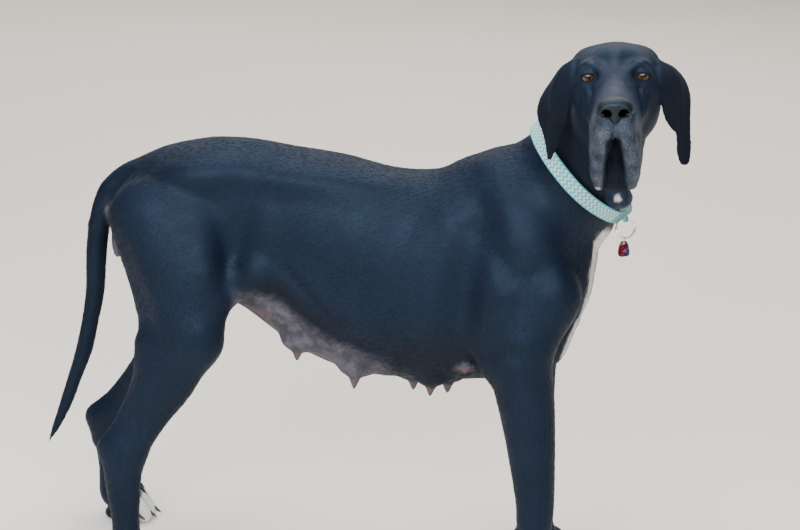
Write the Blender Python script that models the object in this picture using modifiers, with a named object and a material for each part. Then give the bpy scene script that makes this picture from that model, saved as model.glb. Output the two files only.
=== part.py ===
import math

import bmesh
import bpy
import numpy as np
from mathutils import Matrix, Vector
from mathutils.bvhtree import BVHTree

# A great dane bitch standing in profile, her head turned to her right, as a life-size museum model.
# Her flesh is one body of soft forms, sampled on a grid, and parted into head, neck, trunk and
# limbs by thin cuts. Collar, ring, tags, eyes, nose and claws are solids of their own.

NAME = "great_dane"
GRID = 0.0040             # spacing of the grid that the flesh is sampled on
HEAD_GRID = 0.0025        # and the finer one of the head
CUT = 0.0004              # thickness of a parting cut
GAP = 0.0003              # space between touching solids
FLESH_TRIANGLES = 2000
HEAD_TRIANGLES = 1320

# ---------------------------------------------------------------- soft forms
# Every form is a distance function (negative inside) with the low and high corners of its box.
def unit(a):
    a = np.asarray(a, float)
    return a / np.linalg.norm(a)

def smin(a, b, k):
    h = np.clip(0.5 + 0.5 * (b - a) / k, 0.0, 1.0)
    return b * (1 - h) + a * h - k * h * (1 - h)

def smax(a, b, k):
    return -smin(-a, -b, k)

def spline(rows, n):
    """A Catmull-Rom curve through rows of numbers, n steps to a span."""
    p = np.asarray(rows, float)
    p = np.vstack([2 * p[0] - p[1], p, 2 * p[-1] - p[-2]])
    t = (np.arange(n) / n)[:, None]
    out = [0.5 * (2 * p[i] + (p[i + 1] - p[i - 1]) * t
                  + (2 * p[i - 1] - 5 * p[i] + 4 * p[i + 1] - p[i + 2]) * t * t
                  + (3 * p[i] - p[i - 1] - 3 * p[i + 1] + p[i + 2]) * t ** 3)
           for i in range(1, len(p) - 2)]
    return np.vstack(out + [p[-2:-1]])

def rot(axis, deg):
    x, y, z = unit(axis)
    t = math.radians(deg)
    c, s = math.cos(t), math.sin(t)
    return np.array([[c + x * x * (1 - c), x * y * (1 - c) - z * s, x * z * (1 - c) + y * s],
                     [y * x * (1 - c) + z * s, c + y * y * (1 - c), y * z * (1 - c) - x * s],
                     [z * x * (1 - c) - y * s, z * y * (1 - c) + x * s, c + z * z * (1 - c)]])

def ellipsoid(c, r, R=None):
    c, r = np.asarray(c, float), np.asarray(r, float)
    R = np.eye(3) if R is None else R
    def f(P):
        q = (P - c) @ R
        k0 = np.sqrt(((q / r) ** 2).sum(-1))
        k1 = np.sqrt(((q / r ** 2) ** 2).sum(-1)) + 1e-9
        return np.where(k0 < 1e-4, -r.min(), k0 * (k0 - 1) / k1)
    ext = np.sqrt(((R * r) ** 2).sum(1))
    return f, c - ext, c + ext

def tube(points, radii, side=None, flat=1.0, steps=4):
    """A tapering tube; along side its section is flat times as wide as its radius."""
    rows = spline([list(p) + [r] for p, r in zip(points, radii)], steps)
    pts, rad = rows[:, :3], np.maximum(rows[:, 3], 1e-4)
    fl = np.full(len(rad), float(flat)) if np.isscalar(flat) else spline([[x] for x in flat], steps)[:, 0]
    def f(P):
        best = np.full(P.shape[:-1], 1e3)
        for i in range(len(pts) - 1):
            w = pts[i + 1] - pts[i]
            L = np.linalg.norm(w)
            if L < 1e-7:
                continue
            w = w / L
            q = P - pts[i]
            t = np.clip((q @ w) / L, 0, 1)
            off = q - (t * L)[..., None] * w
            d = np.sqrt((off ** 2).sum(-1))
            r = rad[i] * (1 - t) + rad[i + 1] * t
            if side is None:
                d = d - r
            else:
                u = np.asarray(side, float)
                u = unit(u - (u @ w) * w)
                s = fl[i] * (1 - t) + fl[i + 1] * t
                ou = off @ u
                ds = np.sqrt(np.maximum(d * d - ou * ou, 0) + (ou / s) ** 2)
                d = (ds - r) * (d + 1e-6) / (ds + 1e-6)
            best = np.minimum(best, d)
        return best
    m = (rad * np.maximum(fl, 1.0))[:, None]
    return f, (pts - m).min(0), (pts + m).max(0)

def hull_x(stations, power):
    """A body along X from stations (x, top, bottom, half width, lean); lean above 0 narrows its top, below 0 its underside."""
    fine = spline(stations, 10)
    fine = fine[np.argsort(fine[:, 0])]
    x0, x1 = fine[0, 0], fine[-1, 0]
    def f(P):
        x = np.clip(P[..., 0], x0, x1)
        top, bot, w, lean = (np.interp(x, fine[:, 0], fine[:, j]) for j in (1, 2, 3, 4))
        zc, h = (top + bot) / 2, np.maximum((top - bot) / 2, 1e-3)
        zr = np.clip((P[..., 2] - zc) / h, -1.2, 1.2)
        w = np.maximum(w, 1e-3) * np.clip(1 - lean * zr, 0.2, 3)
        a, b = np.abs(P[..., 1]) / w, np.abs(zr)
        a = np.minimum(a, 50)
        q = (a ** power + b ** power) ** (1 / power) + 1e-6
        g = np.sqrt(((a / q) ** (power - 1) / w) ** 2 + ((b / q) ** (power - 1) / h) ** 2) + 1e-9
        d = (q - 1) / g
        dx = np.abs(P[..., 0] - x)
        return np.where(dx > 0, np.sqrt(np.maximum(d, 0) ** 2 + dx * dx), d)
    W = (fine[:, 3] * (1 + np.abs(fine[:, 4]))).max()
    return f, np.array([x0, -W, fine[:, 2].min()]), np.array([x1, W, fine[:, 1].max()])

def sheet(grid, thick):
    """A thin flap around a grid of points; thick is its half thickness at each grid row."""
    g = np.asarray(grid, float)
    n, m = g.shape[:2]
    pts = g.reshape(-1, 3)
    quads = [(i * m + j, i * m + j + 1, (i + 1) * m + j + 1, (i + 1) * m + j) for i in range(n - 1) for j in range(m - 1)]
    tree = BVHTree.FromPolygons([tuple(p) for p in pts], quads)
    th = np.asarray(thick, float)
    def f(P):
        Q = P.reshape(-1, 3)
        out = np.empty(len(Q))
        for k, p in enumerate(Q):
            hit = tree.find_nearest(p)
            out[k] = hit[3] - th[hit[2] // (m - 1)]
        return out.reshape(P.shape[:-1])
    t = th.max()
    return f, pts.min(0) - t, pts.max(0) + t

def placed(form, R, o):
    """A form modelled in its own axes (the columns of R), moved to o."""
    f, lo, hi = form
    box = np.array([[x, y, z] for x in (lo[0], hi[0]) for y in (lo[1], hi[1]) for z in (lo[2], hi[2])]) @ R.T + o
    return (lambda P: f((P - o) @ R)), box.min(0), box.max(0)

class Flesh:
    """Forms joined, or cut away, softly one after another."""
    def __init__(self):
        self.ops = []
    def add(self, form, k=0.02):
        self.ops.append((form, k, 1))
        return self
    def cut(self, form, k=0.01):
        self.ops.append((form, k, -1))
        return self
    def at(self, P):
        P = np.asarray(P, float)
        D = np.full(len(P), 0.2)
        for form, k, sign in self.ops:
            f, lo, hi = form
            pad = 1.3 * k + 0.006
            m = ((P >= lo - pad) & (P <= hi + pad)).all(1)
            if m.any():
                d = f(P[m])
                D[m] = smin(D[m], d, k) if sign > 0 else smax(D[m], -d, k)
        return D
    def fill(self, ax, D):
        for form, k, sign in self.ops:
            f, lo, hi = form
            pad = 1.3 * k + 0.006
            s = tuple(slice(*np.searchsorted(ax[i], (lo[i] - pad, hi[i] + pad))) for i in range(3))
            if any(x.stop - x.start < 1 for x in s):
                continue
            X = np.stack(np.meshgrid(*[ax[i][s[i]] for i in range(3)], indexing="ij"), -1)
            d = f(X).astype(np.float32)
            D[s] = smin(D[s], d, k) if sign > 0 else smax(D[s], -d, k)
        return D

def unpinched(D):
    """Where two skins would meet along one cell edge (a face of the grid with alternating signs), the weakest corner changes side."""
    for _ in range(8):
        found = 0
        for u, v in ((0, 1), (1, 2), (0, 2)):
            cut = []
            for i, j in ((0, 0), (1, 0), (0, 1), (1, 1)):
                s = [slice(None)] * 3
                s[u] = slice(i, D.shape[u] - 1 + i)
                s[v] = slice(j, D.shape[v] - 1 + j)
                cut.append(tuple(s))
            a, b, c, d = (D[s] < 0 for s in cut)
            bad = np.argwhere((a == d) & (b == c) & (a != b))
            found += len(bad)
            for cell in bad:
                corners = []
                for i, j in ((0, 0), (1, 0), (0, 1), (1, 1)):
                    w = cell.copy()
                    w[u] += i
                    w[v] += j
                    corners.append(tuple(w))
                w = min(corners, key=lambda w: abs(D[w]))
                D[w] = -math.copysign(1e-5, D[w])
        if not found:
            break
    return D

def contour(ax, D):
    """The surface D = 0 of a grid as quads: one point in each cell that it crosses."""
    D = unpinched(D)
    S = D < 0
    c = [slice(0, -1), slice(1, None)]
    n = sum(S[c[i], c[j], c[k]].astype(np.int8) for i in (0, 1) for j in (0, 1) for k in (0, 1))
    cells = np.argwhere((n > 0) & (n < 8))
    index = np.full(n.shape, -1, np.int64)
    index[tuple(cells.T)] = np.arange(len(cells))
    acc, cnt = np.zeros((len(cells), 3)), np.zeros(len(cells))
    corners = [np.array([i, j, k]) for i in (0, 1) for j in (0, 1) for k in (0, 1)]
    for a in corners:
        for b in corners:
            if (b - a).sum() != 1 or (b - a).min() < 0:
                continue
            da, db = D[tuple((cells + a).T)], D[tuple((cells + b).T)]
            m = (da < 0) != (db < 0)
            t = (da[m] / (da[m] - db[m]))[:, None]
            acc[m] += a + t * (b - a)
            cnt[m] += 1
    pos = cells + acc / cnt[:, None]
    verts = np.stack([ax[i][0] + pos[:, i] * (ax[i][1] - ax[i][0]) for i in range(3)], 1)
    quads = []
    for axis in range(3):
        u, v = (axis + 1) % 3, (axis + 2) % 3
        lo = [slice(None)] * 3
        hi = [slice(None)] * 3
        lo[axis], hi[axis] = slice(0, -1), slice(1, None)
        A, B = S[tuple(lo)], S[tuple(hi)]
        for flip, M in ((False, A & ~B), (True, ~A & B)):
            e = np.argwhere(M)
            e = e[(e[:, u] > 0) & (e[:, v] > 0) & (e[:, u] < S.shape[u] - 1) & (e[:, v] < S.shape[v] - 1)]
            q = []
            for du, dv in ((-1, -1), (0, -1), (0, 0), (-1, 0)):
                w = e.copy()
                w[:, u] += du
                w[:, v] += dv
                q.append(index[tuple(w.T)])
            q = np.stack(q, 1)
            quads.append(q[:, ::-1] if flip else q)
    return verts, np.vstack(quads)
# ---------------------------------------------------------------- the dog's measures (metres)
# +X is the dog's forward, -Y its right side, the floor is z = 0. SHIFT is the middle of the whole
# model's outline on the floor, which becomes the part's origin.
SHIFT = np.array([0.0304, -0.0927, 0.0])
NEAR, FAR = -1, 1            # the dog's right and left sides
LEG_Y = 0.105                # a foreleg's distance from the middle

# the trunk: x, back, underside, half width, lean
TRUNK = [(-0.385, 0.680, 0.620, 0.028, 0.00),
         (-0.360, 0.710, 0.570, 0.051, 0.05),
         (-0.310, 0.746, 0.510, 0.075, 0.08),
         (-0.235, 0.767, 0.498, 0.086, 0.06),
         (-0.160, 0.772, 0.479, 0.086, 0.02),
         (-0.080, 0.763, 0.427, 0.090, 0.00),
         (0.000, 0.754, 0.3905, 0.101, -0.02),
         (0.080, 0.738, 0.3795, 0.110, 0.00),
         (0.160, 0.742, 0.383, 0.113, 0.08),
         (0.200, 0.757, 0.384, 0.110, 0.12),
         (0.240, 0.765, 0.389, 0.105, 0.16),
         (0.310, 0.758, 0.400, 0.087, 0.18),
         (0.370, 0.730, 0.435, 0.069, 0.10),
         (0.412, 0.672, 0.500, 0.046, 0.00)]

# the neck's middle and half width, from the chest to the back of the skull
NECK = [(0.275, 0.000, 0.620), (0.332, -0.002, 0.682), (0.384, -0.014, 0.738),
        (0.416, -0.042, 0.790), (0.436, -0.082, 0.850), (0.446, -0.118, 0.900)]
NECK_R = [0.100, 0.092, 0.082, 0.072, 0.066, 0.058]

# the head's own axes: F forward along the muzzle, L to the dog's left, U up, from a point between the eyes
EYES_AT = np.array([0.4585, -0.200, 0.9525])
HEAD_YAW, HEAD_NOD, HEAD_ROLL = 4.0, 0.0, 4.4
def head_axes():
    a = math.radians(HEAD_YAW)
    F = np.array([math.sin(a), -math.cos(a), 0.0])
    L = np.cross((0, 0, 1.0), F)
    R = rot(F, HEAD_ROLL) @ rot(L, HEAD_NOD) @ np.stack([F, L, (0, 0, 1.0)], 1)
    return R
HEAD = head_axes()
def in_head(p):
    return HEAD @ np.asarray(p, float) + EYES_AT

# the skull and muzzle in those axes: forward, top, bottom, half width, lean
SKULL = [(-0.146, 0.004, -0.030, 0.030, 0.00),
         (-0.130, 0.022, -0.050, 0.048, 0.00),
         (-0.100, 0.036, -0.070, 0.062, 0.00),
         (-0.060, 0.040, -0.080, 0.0665, 0.00),
         (-0.026, 0.036, -0.085, 0.0600, 0.00),
         (0.000, 0.018, -0.086, 0.0500, 0.06),
         (0.020, 0.005, -0.086, 0.0400, 0.20),
         (0.045, 0.000, -0.086, 0.0350, 0.28),
         (0.080, -0.003, -0.080, 0.0335, 0.26),
         (0.110, -0.005, -0.070, 0.0325, 0.20),
         (0.130, -0.009, -0.060, 0.0295, 0.10),
         (0.141, -0.016, -0.050, 0.0230, 0.00)]
EYE_Y, EYE_X, EYE_Z, EYE_R = 0.0405, -0.0125, -0.0015, 0.0125
CHIN = (0.088, 0.0040, -0.1650)
EAR_LENGTH = 0.165

# the legs: the middle of each joint, right then left
HIP = {NEAR: (-0.285, -0.080, 0.640), FAR: (-0.295, 0.080, 0.640)}
KNEE = {NEAR: (-0.226, -0.110, 0.438), FAR: (-0.270, 0.110, 0.395)}
HOCK = {NEAR: (-0.344, -0.112, 0.222), FAR: (-0.450, 0.122, 0.183)}
HIND_FOOT = {NEAR: (-0.318, -0.112), FAR: (-0.424, 0.124)}
FORE_FOOT = {NEAR: (0.392, -0.105), FAR: (0.368, 0.105)}
# ---------------------------------------------------------------- the body's forms
def limb_y(side, y):
    return side * y

def trunk_forms(B):
    B.add(hull_x(TRUNK, 2.25), 0.01)
    B.add(ellipsoid((-0.300, 0, 0.640), (0.080, 0.084, 0.080)), 0.03)          # pelvis
    for s in (NEAR, FAR):
        B.add(ellipsoid((-0.352, s * 0.044, 0.630), (0.026, 0.028, 0.045)), 0.025)     # point of the buttock
        B.add(ellipsoid((-0.225, s * 0.064, 0.718), (0.060, 0.026, 0.024), rot((0, 1, 0), -8)), 0.045)   # hip bone
        B.add(ellipsoid((-0.060, s * 0.037, 0.720), (0.150, 0.034, 0.020), rot((0, 1, 0), 4)), 0.035)    # loin muscle
        # shoulder blade, its muscle and the point of the shoulder
        B.add(tube([(0.262, s * 0.040, 0.752), (0.312, s * 0.078, 0.672), (0.360, s * 0.094, 0.592)],
                   [0.022, 0.046, 0.044], (0, 1, 0), 0.72), 0.03)
        B.add(ellipsoid((0.376, s * 0.088, 0.568), (0.040, 0.036, 0.046)), 0.03)
        # upper arm and the muscle behind it
        B.add(tube([(0.372, s * 0.094, 0.560), (0.349, s * 0.104, 0.510), (0.327, s * 0.106, 0.455)],
                   [0.044, 0.048, 0.044], (0, 1, 0), 0.80), 0.03)
        B.add(ellipsoid((0.300, s * 0.104, 0.540), (0.058, 0.030, 0.095), rot((0, 1, 0), 14)), 0.03)
    B.add(ellipsoid((0.398, 0, 0.585), (0.034, 0.050, 0.062)), 0.04)           # breastbone
    B.add(ellipsoid((0.335, 0, 0.475), (0.066, 0.050, 0.070)), 0.03)
    return B

def neck_forms(B):
    B.add(tube(NECK, NECK_R, (-0.70, 0, 0.70), [1.28, 1.20, 1.11, 1.09, 1.08, 1.05]), 0.05)
    # the crest from the withers to the skull, and the loose skin under the throat
    B.add(tube([(0.235, 0, 0.725), (0.295, 0, 0.748), (0.345, -0.012, 0.790), (0.400, -0.045, 0.860), (0.430, -0.085, 0.915)],
               [0.036, 0.036, 0.036, 0.038, 0.038]), 0.03)
    B.add(tube([(0.426, -0.008, 0.680), (0.432, -0.060, 0.745), (0.443, -0.120, 0.800), (0.460, -0.170, 0.835)],
               [0.030, 0.029, 0.033, 0.028]), 0.03)
    return B

def foreleg(B, s):
    fx, fy = FORE_FOOT[s]
    dx = fx - FORE_FOOT[NEAR][0]
    y = abs(fy)
    B.add(tube([(0.328, s * y, 0.475), (0.335 + dx * .5, s * y, 0.430), (0.3465 + dx * .9, s * y, 0.370), (0.3575 + dx, s * y, 0.295),
                (0.366 + dx, s * y, 0.220), (0.368 + dx, s * y, 0.180), (0.370 + dx, s * y, 0.150), (0.376 + dx, s * y, 0.110), (0.384 + dx, s * y, 0.070)],
               [0.050, 0.0515, 0.0470, 0.0403, 0.0343, 0.0322, 0.0288, 0.0260, 0.027], (0, 1, 0),
               [0.80, 0.82, 0.81, 0.81, 0.84, 0.92, 0.89, 0.91, 1.0]), 0.02)
    B.add(ellipsoid((0.292, s * (y + 0.002), 0.452), (0.024, 0.019, 0.030)), 0.025)     # elbow
    B.add(ellipsoid((0.341 + dx, s * y, 0.152), (0.010, 0.010, 0.012)), 0.012)        # carpal pad
    return B

def hindleg(B, s):
    H, K, A = (np.array(d[s]) for d in (HIP, KNEE, HOCK))
    fx, fy = HIND_FOOT[s]
    y = abs(K[1])
    Y = np.array((0, 1, 0))
    # thigh: front muscle, hamstrings and the inner bulk
    mid = (H + K) / 2
    fore = 0.020 if s == NEAR else 0.002                                         # the left thigh is swung further back
    slack = np.array((0.0 if s == NEAR else -0.016, 0, 0))                          # and its knee is less filled out in front
    B.add(tube([H + (fore, 0, -0.02), mid + (fore, 0.004 * s, 0.0), K + slack + (0.004, 0, 0.012)], [0.075, 0.066 if s == NEAR else 0.060, 0.050], Y, 0.58), 0.03)
    B.add(tube([H + (-0.030, 0.0, 0.000), mid + (-0.016, 0.004 * s, -0.005), K + (-0.042, -0.004 * s, -0.020)], [0.060, 0.062, 0.038], Y, 0.58), 0.03)
    B.add(ellipsoid(K + slack + (0.018, 0, 0.010), (0.026, 0.024, 0.034)), 0.02)
    # the fold of skin from the flank to the knee
    web = [(-0.128, s * 0.084, 0.556), (-0.168, s * 0.094, 0.518), K + (0.024, 0, 0.034)] if s == NEAR else [(-0.140, s * 0.084, 0.562), (-0.196, s * 0.094, 0.536), K + (0.008, 0, 0.060)]
    B.add(tube(web, [0.030, 0.020, 0.018], Y, 0.6), 0.03)
    # lower leg: shin, calf and the tendon to the point of the hock
    w = A - K
    B.add(tube([K + slack + (0, 0, 0.01), K + slack * 0.5 + w * 0.30, K + w * 0.62, A + (0.008, 0, 0.01)], [0.052, 0.048, 0.037, 0.031], Y, 0.66), 0.03)
    heel = A + (-0.030, 0, 0.014)
    B.add(tube([K + (-0.064, 0, -0.012), K + w * 0.34 + (-0.026, 0, 0.000), K + w * 0.66 + (-0.030, 0, 0.000), heel], [0.032, 0.034, 0.019, 0.013], Y, 0.62), 0.025)
    B.add(ellipsoid(heel + (0.002, 0, 0), (0.016, 0.013, 0.020)), 0.014)
    # the hock and what is below it
    foot = np.array((fx - 0.020, s * abs(fy), 0.062))
    B.add(tube([A + (0.004, 0, 0.012), A + (0.000, 0, -0.020), A * (1, 1, 0) * .72 + foot * (1, 1, 0) * .28 + (0, 0, 0.145),
                A * (1, 1, 0) * .3 + foot * (1, 1, 0) * .7 + (0, 0, 0.100), foot],
               [0.036, 0.036, 0.030, 0.025, 0.026], Y, [0.70, 0.68, 0.72, 0.85, 1.0]), 0.02)
    return B

TOES = [(-0.0330, 0.030), (-0.0120, 0.047), (0.0120, 0.047), (0.0330, 0.030)]      # across, reach
def toe_line(i, x, y, size=1.0, turn=0.0):
    across, reach = TOES[i]
    R = rot((0, 0, 1), turn)
    pts = [(-0.018, across * 0.45, 0.052), (reach * 0.35, across * 0.88, 0.054), (reach * 0.80, across, 0.036), (reach + 0.006, across, 0.0165)]
    return [R @ (np.array(p) * size) + (x, y, 0) for p in pts]

def paw(B, x, y, size=1.0, turn=0.0):
    P = Flesh()
    for i in range(4):
        P.add(tube(toe_line(i, x, y, size, turn), [0.0175 * size, 0.0165 * size, 0.0150 * size, 0.0135 * size]), 0.004)
        tip = toe_line(i, x, y, size, turn)[3]
        P.add(ellipsoid((tip[0] - 0.006 * size, tip[1], 0.0072), (0.0145 * size, 0.0105 * size, 0.0105)), 0.003)      # toe pad
    P.add(ellipsoid((x - 0.012 * size, y, 0.0090), (0.026 * size, 0.0260 * size, 0.0135)), 0.006)                # main pad
    P.add(ellipsoid((x - 0.008 * size, y, 0.045 * size), (0.034 * size, 0.031 * size, 0.026 * size)), 0.014)
    B.ops.append((joined(P), 0.012, 1))
    return B

def joined(F):
    lo = np.min([f[1] for f, _, s in F.ops if s > 0], 0)
    hi = np.max([f[2] for f, _, s in F.ops if s > 0], 0)
    return (lambda P: F.at(P.reshape(-1, 3)).reshape(P.shape[:-1])), lo, hi

TAIL = [(-0.325, 0, 0.706), (-0.365, 0, 0.692), (-0.394, 0, 0.668), (-0.411, 0, 0.635), (-0.4210, 0, 0.600), (-0.4265, 0, 0.550), (-0.430, 0, 0.479),
        (-0.4395, 0, 0.425), (-0.451, 0, 0.372), (-0.469, 0, 0.318), (-0.488, 0, 0.263), (-0.506, 0, 0.220), (-0.517, 0, 0.197)]
TAIL_R = [0.026, 0.024, 0.0220, 0.0205, 0.0190, 0.0185, 0.0170, 0.0155, 0.0150, 0.0135, 0.0115, 0.0080, 0.0035]
def tail_forms(B):
    B.add(tube(TAIL[:5], TAIL_R[:5]), 0.008)
    for s in (-1, 1):                        # the crease between the tail's root and the rump
        B.cut(tube([(-0.350, s * 0.031, 0.706), (-0.368, s * 0.031, 0.688), (-0.388, s * 0.027, 0.655), (-0.396, s * 0.023, 0.620)], [0.0015, 0.0035, 0.0045, 0.0030]), 0.010)
    B.add(tube(TAIL[4:], TAIL_R[4:]), 0.004)
    return B

# teats along the belly: side, x, distance from the middle, length
TEATS = [(NEAR, -0.112, 0.066, 0.007), (NEAR, -0.055, 0.048, 0.026), (NEAR, 0.045, 0.048, 0.032), (NEAR, 0.175, 0.046, 0.028), (NEAR, 0.238, 0.084, 0.006),
         (FAR, -0.110, 0.052, 0.010), (FAR, -0.045, 0.045, 0.016), (FAR, 0.060, 0.045, 0.018), (FAR, 0.137, 0.006, 0.029), (FAR, 0.196, 0.006, 0.031)]
def belly_at(x, y):
    fine = spline(TRUNK, 10)
    fine = fine[np.argsort(fine[:, 0])]
    top, bot, w, lean = (np.interp(x, fine[:, 0], fine[:, j]) for j in (1, 2, 3, 4))
    zc, h = (top + bot) / 2, (top - bot) / 2
    return zc - h * (1 - min(abs(y / (w * (1 + lean))), 0.98) ** 2.25) ** (1 / 2.25)

def udder(B):
    for s, x, y, n in TEATS:
        z = belly_at(x, s * y)
        m = 1.0 if n > 0.012 else 0.5
        B.add(ellipsoid((x, s * y, z + 0.010 * m), (0.030 * m, 0.024 * m, 0.014 * m + n * 0.35)), 0.02 * m)
        tip = z - n
        B.add(tube([(x, s * y, tip + 0.020), (x, s * (y + 0.001), tip + 0.010), (x, s * (y + 0.002), tip)], [0.0120, 0.0085, 0.0048]), 0.006)
    return B

def rear_fold(B):
    return B.add(tube([(-0.366, 0, 0.640), (-0.380, 0, 0.600), (-0.387, 0, 0.570), (-0.388, 0, 0.551)], [0.019, 0.0180, 0.0135, 0.0085], (0, 1, 0), 0.8), 0.010)

def nose_forms():
    """The leather at the end of the muzzle, in the head's axes."""
    N = Flesh()
    N.add(ellipsoid((0.1365, 0, -0.0165), (0.0160, 0.0225, 0.0120)), 0.004)
    for s in (-1, 1):
        N.add(ellipsoid((0.1345, s * 0.0150, -0.0240), (0.0165, 0.0125, 0.0120)), 0.006)      # wings
    N.add(ellipsoid((0.1385, 0, -0.0315), (0.0120, 0.0085, 0.0130)), 0.008)
    for s in (-1, 1):
        N.cut(ellipsoid((0.1510, s * 0.0132, -0.0268), (0.0190, 0.0068, 0.0062), rot((0, 0, 1), s * 22)), 0.0020)    # nostrils
        N.cut(tube([(0.1470, s * 0.0165, -0.0290), (0.1350, s * 0.0300, -0.0340)], [0.0024, 0.0024]), 0.0025)         # slits
    return N

def head_forms(B):
    H = Flesh()
    H.add(hull_x(SKULL, 2.15), 0.006)
    for s in (-1, 1):
        H.add(tube([(-0.100, s * 0.052, -0.014), (-0.062, s * 0.0610, -0.020), (-0.024, s * 0.0540, -0.026)], [0.014, 0.0130, 0.0100]), 0.02)   # cheekbone
        H.add(ellipsoid((-0.056, s * 0.0420, -0.058), (0.042, 0.0250, 0.041), rot((0, 1, 0), 20)), 0.02)       # jaw muscle
        H.add(ellipsoid((-0.084, s * 0.040, 0.006), (0.042, 0.025, 0.022)), 0.015)                             # temple
        H.add(tube([(-0.004, s * 0.0200, 0.0120), (-0.010, s * 0.0330, 0.0155), (-0.022, s * 0.0470, 0.0110)], [0.0045, 0.0060, 0.0055]), 0.016)    # brow
        H.add(tube([(0.006, s * 0.0300, -0.016), (-0.002, s * 0.0430, -0.0170), (-0.016, s * 0.0530, -0.0100)], [0.0040, 0.0050, 0.0040]), 0.012)   # under the eye
        # the lips hang as two curtains
        H.add(ellipsoid((0.064, s * 0.0275, -0.094), (0.058, 0.0125, 0.046), rot((0, 1, 0), -6)), 0.014)
        w = 0.0012 * (1 + s)                                  # the left one hangs a little nearer the middle
        H.add(tube([(0.132, s * 0.0115, -0.046), (0.130, s * 0.0185, -0.072), (0.123, s * 0.0245 - w, -0.096), (0.112, s * 0.0262 - w, -0.121), (0.100, s * 0.0240 - w, -0.140)],
                   [0.0145, 0.0140, 0.0125, 0.0120, 0.0100]), 0.008)
    # lower jaw, its lip and the throat
    H.add(tube([(-0.060, 0, -0.080), (0.000, 0, -0.112), (0.046, 0, -0.136), (0.074, 0, -0.146)], [0.034, 0.026, 0.0205, 0.0170], (0, 1, 0), [1.2, 1.15, 1.1, 1.1]), 0.02)
    H.add(ellipsoid((-0.045, 0, -0.085), (0.055, 0.036, 0.040)), 0.03)
    H.add(ellipsoid((0.070, 0, -0.090), (0.036, 0.024, 0.040)), 0.010)
    H.add(tube([(0.072, 0, -0.122), (0.090, 0, -0.112), (0.0960, 0, -0.132), (0.0880, 0, -0.150)], [0.012, 0.0085, 0.0100, 0.0130], (0, 1, 0), [1.5, 1.9, 1.7, 1.3]), 0.007)
    H.add(ellipsoid(CHIN, (0.0190, 0.0208, 0.0178)), 0.006)
    # the furrow of the forehead and the hollows beside it, the split of the upper lip
    H.cut(tube([(-0.075, 0, 0.0455), (-0.035, 0, 0.0430), (-0.008, 0, 0.0310)], [0.002, 0.004, 0.003]), 0.010)
    H.cut(tube([(0.151, 0, -0.044), (0.147, 0, -0.058), (0.138, 0, -0.070)], [0.0010, 0.0030, 0.0050]), 0.004)
    for s in (-1, 1):
        H.cut(ellipsoid((-0.005, s * 0.0190, 0.0275), (0.0140, 0.0100, 0.0065), rot((1, 0, 0), s * 35)), 0.020)
        H.cut(tube([(0.012, s * 0.0345, -0.018), (0.030, s * 0.0410, -0.050), (0.045, s * 0.0440, -0.085), (0.052, s * 0.0440, -0.110)], [0.0015, 0.0030, 0.0040, 0.0030]), 0.010)   # crease between cheek and lip
        H.cut(ellipsoid((0.004, s * 0.0415, 0.0000), (0.0125, 0.0150, 0.0090)), 0.008)       # eye socket
        H.add(ellipsoid((EYE_X, s * EYE_Y, EYE_Z), (EYE_R + 0.0018,) * 3), 0.006)
        H.cut(ellipsoid((0.0045, s * (EYE_Y + 0.0008), EYE_Z - 0.0004), (0.0180, 0.0103, 0.0057), rot((1, 0, 0), -s * 8)), 0.0015)        # between the lids
    B.ops.append((placed(joined(H), HEAD, EYES_AT), 0.022, 1))
    return B

# Each ear by rows from its root to its tip: height, then forward and out of its front edge, its fold and its rear edge
EARS = {-1: [(0.012, -0.052, 0.052, -0.058, 0.063, -0.080, 0.058),
             (0.002, -0.038, 0.062, -0.046, 0.080, -0.080, 0.081),
             (-0.018, -0.030, 0.068, -0.036, 0.092, -0.070, 0.098),
             (-0.042, -0.032, 0.072, -0.032, 0.0970, -0.064, 0.1140),
             (-0.068, -0.038, 0.075, -0.033, 0.0965, -0.062, 0.1190),
             (-0.092, -0.043, 0.083, -0.038, 0.0995, -0.058, 0.1120),
             (-0.114, -0.047, 0.091, -0.044, 0.1025, -0.052, 0.1070),
             (-0.135, -0.050, 0.1010, -0.0495, 0.1030, -0.051, 0.1050)],
        1: [(0.006, -0.052, 0.054, -0.060, 0.066, -0.084, 0.062),
            (0.000, -0.036, 0.064, -0.050, 0.082, -0.086, 0.084),
            (-0.016, -0.028, 0.070, -0.042, 0.093, -0.080, 0.1020),
            (-0.040, -0.032, 0.0710, -0.042, 0.096, -0.074, 0.1110),
            (-0.066, -0.038, 0.0750, -0.044, 0.097, -0.066, 0.1110),
            (-0.088, -0.044, 0.0860, -0.050, 0.101, -0.060, 0.1105),
            (-0.096, -0.048, 0.0930, -0.052, 0.102, -0.060, 0.1105),
            (-0.120, -0.050, 0.0935, -0.054, 0.103, -0.058, 0.1120),
            (-0.138, -0.052, 0.0955, -0.055, 0.104, -0.057, 0.1120),
            (-0.149, -0.053, 0.1010, -0.055, 0.105, -0.057, 0.1085)]}
EAR_STEP = {-1: 0.012, 1: 0.005}          # how far the part behind the fold steps back
def ear_grid(s, n=27, m=11):
    """One ear: rows from its root to its tip, columns from its front edge over its fold to its rear edge, in the head's axes."""
    c = spline(EARS[s], 6)
    t = np.linspace(0, len(c) - 1, n)
    c = np.stack([np.interp(t, np.arange(len(c)), c[:, j]) for j in range(7)], 1)
    g = np.zeros((n, m, 3))
    for i, (z, xf, yf, xm, ym, xr, yr) in enumerate(c):
        for j in range(m):
            a = 2 * j / (m - 1) - 1
            x, y = np.interp(a, (-1, 0, 1), (xf, xm, xr)), np.interp(a, (-1, 0, 1), (yf, ym, yr))
            x -= EAR_STEP[s] * min(max(a / 0.25, 0), 1) * math.sin(math.pi * i / (n - 1))
            g[i, j] = (x, s * y, z - 0.006 * a * a * (1 - i / (n - 1)))
    return g

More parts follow.
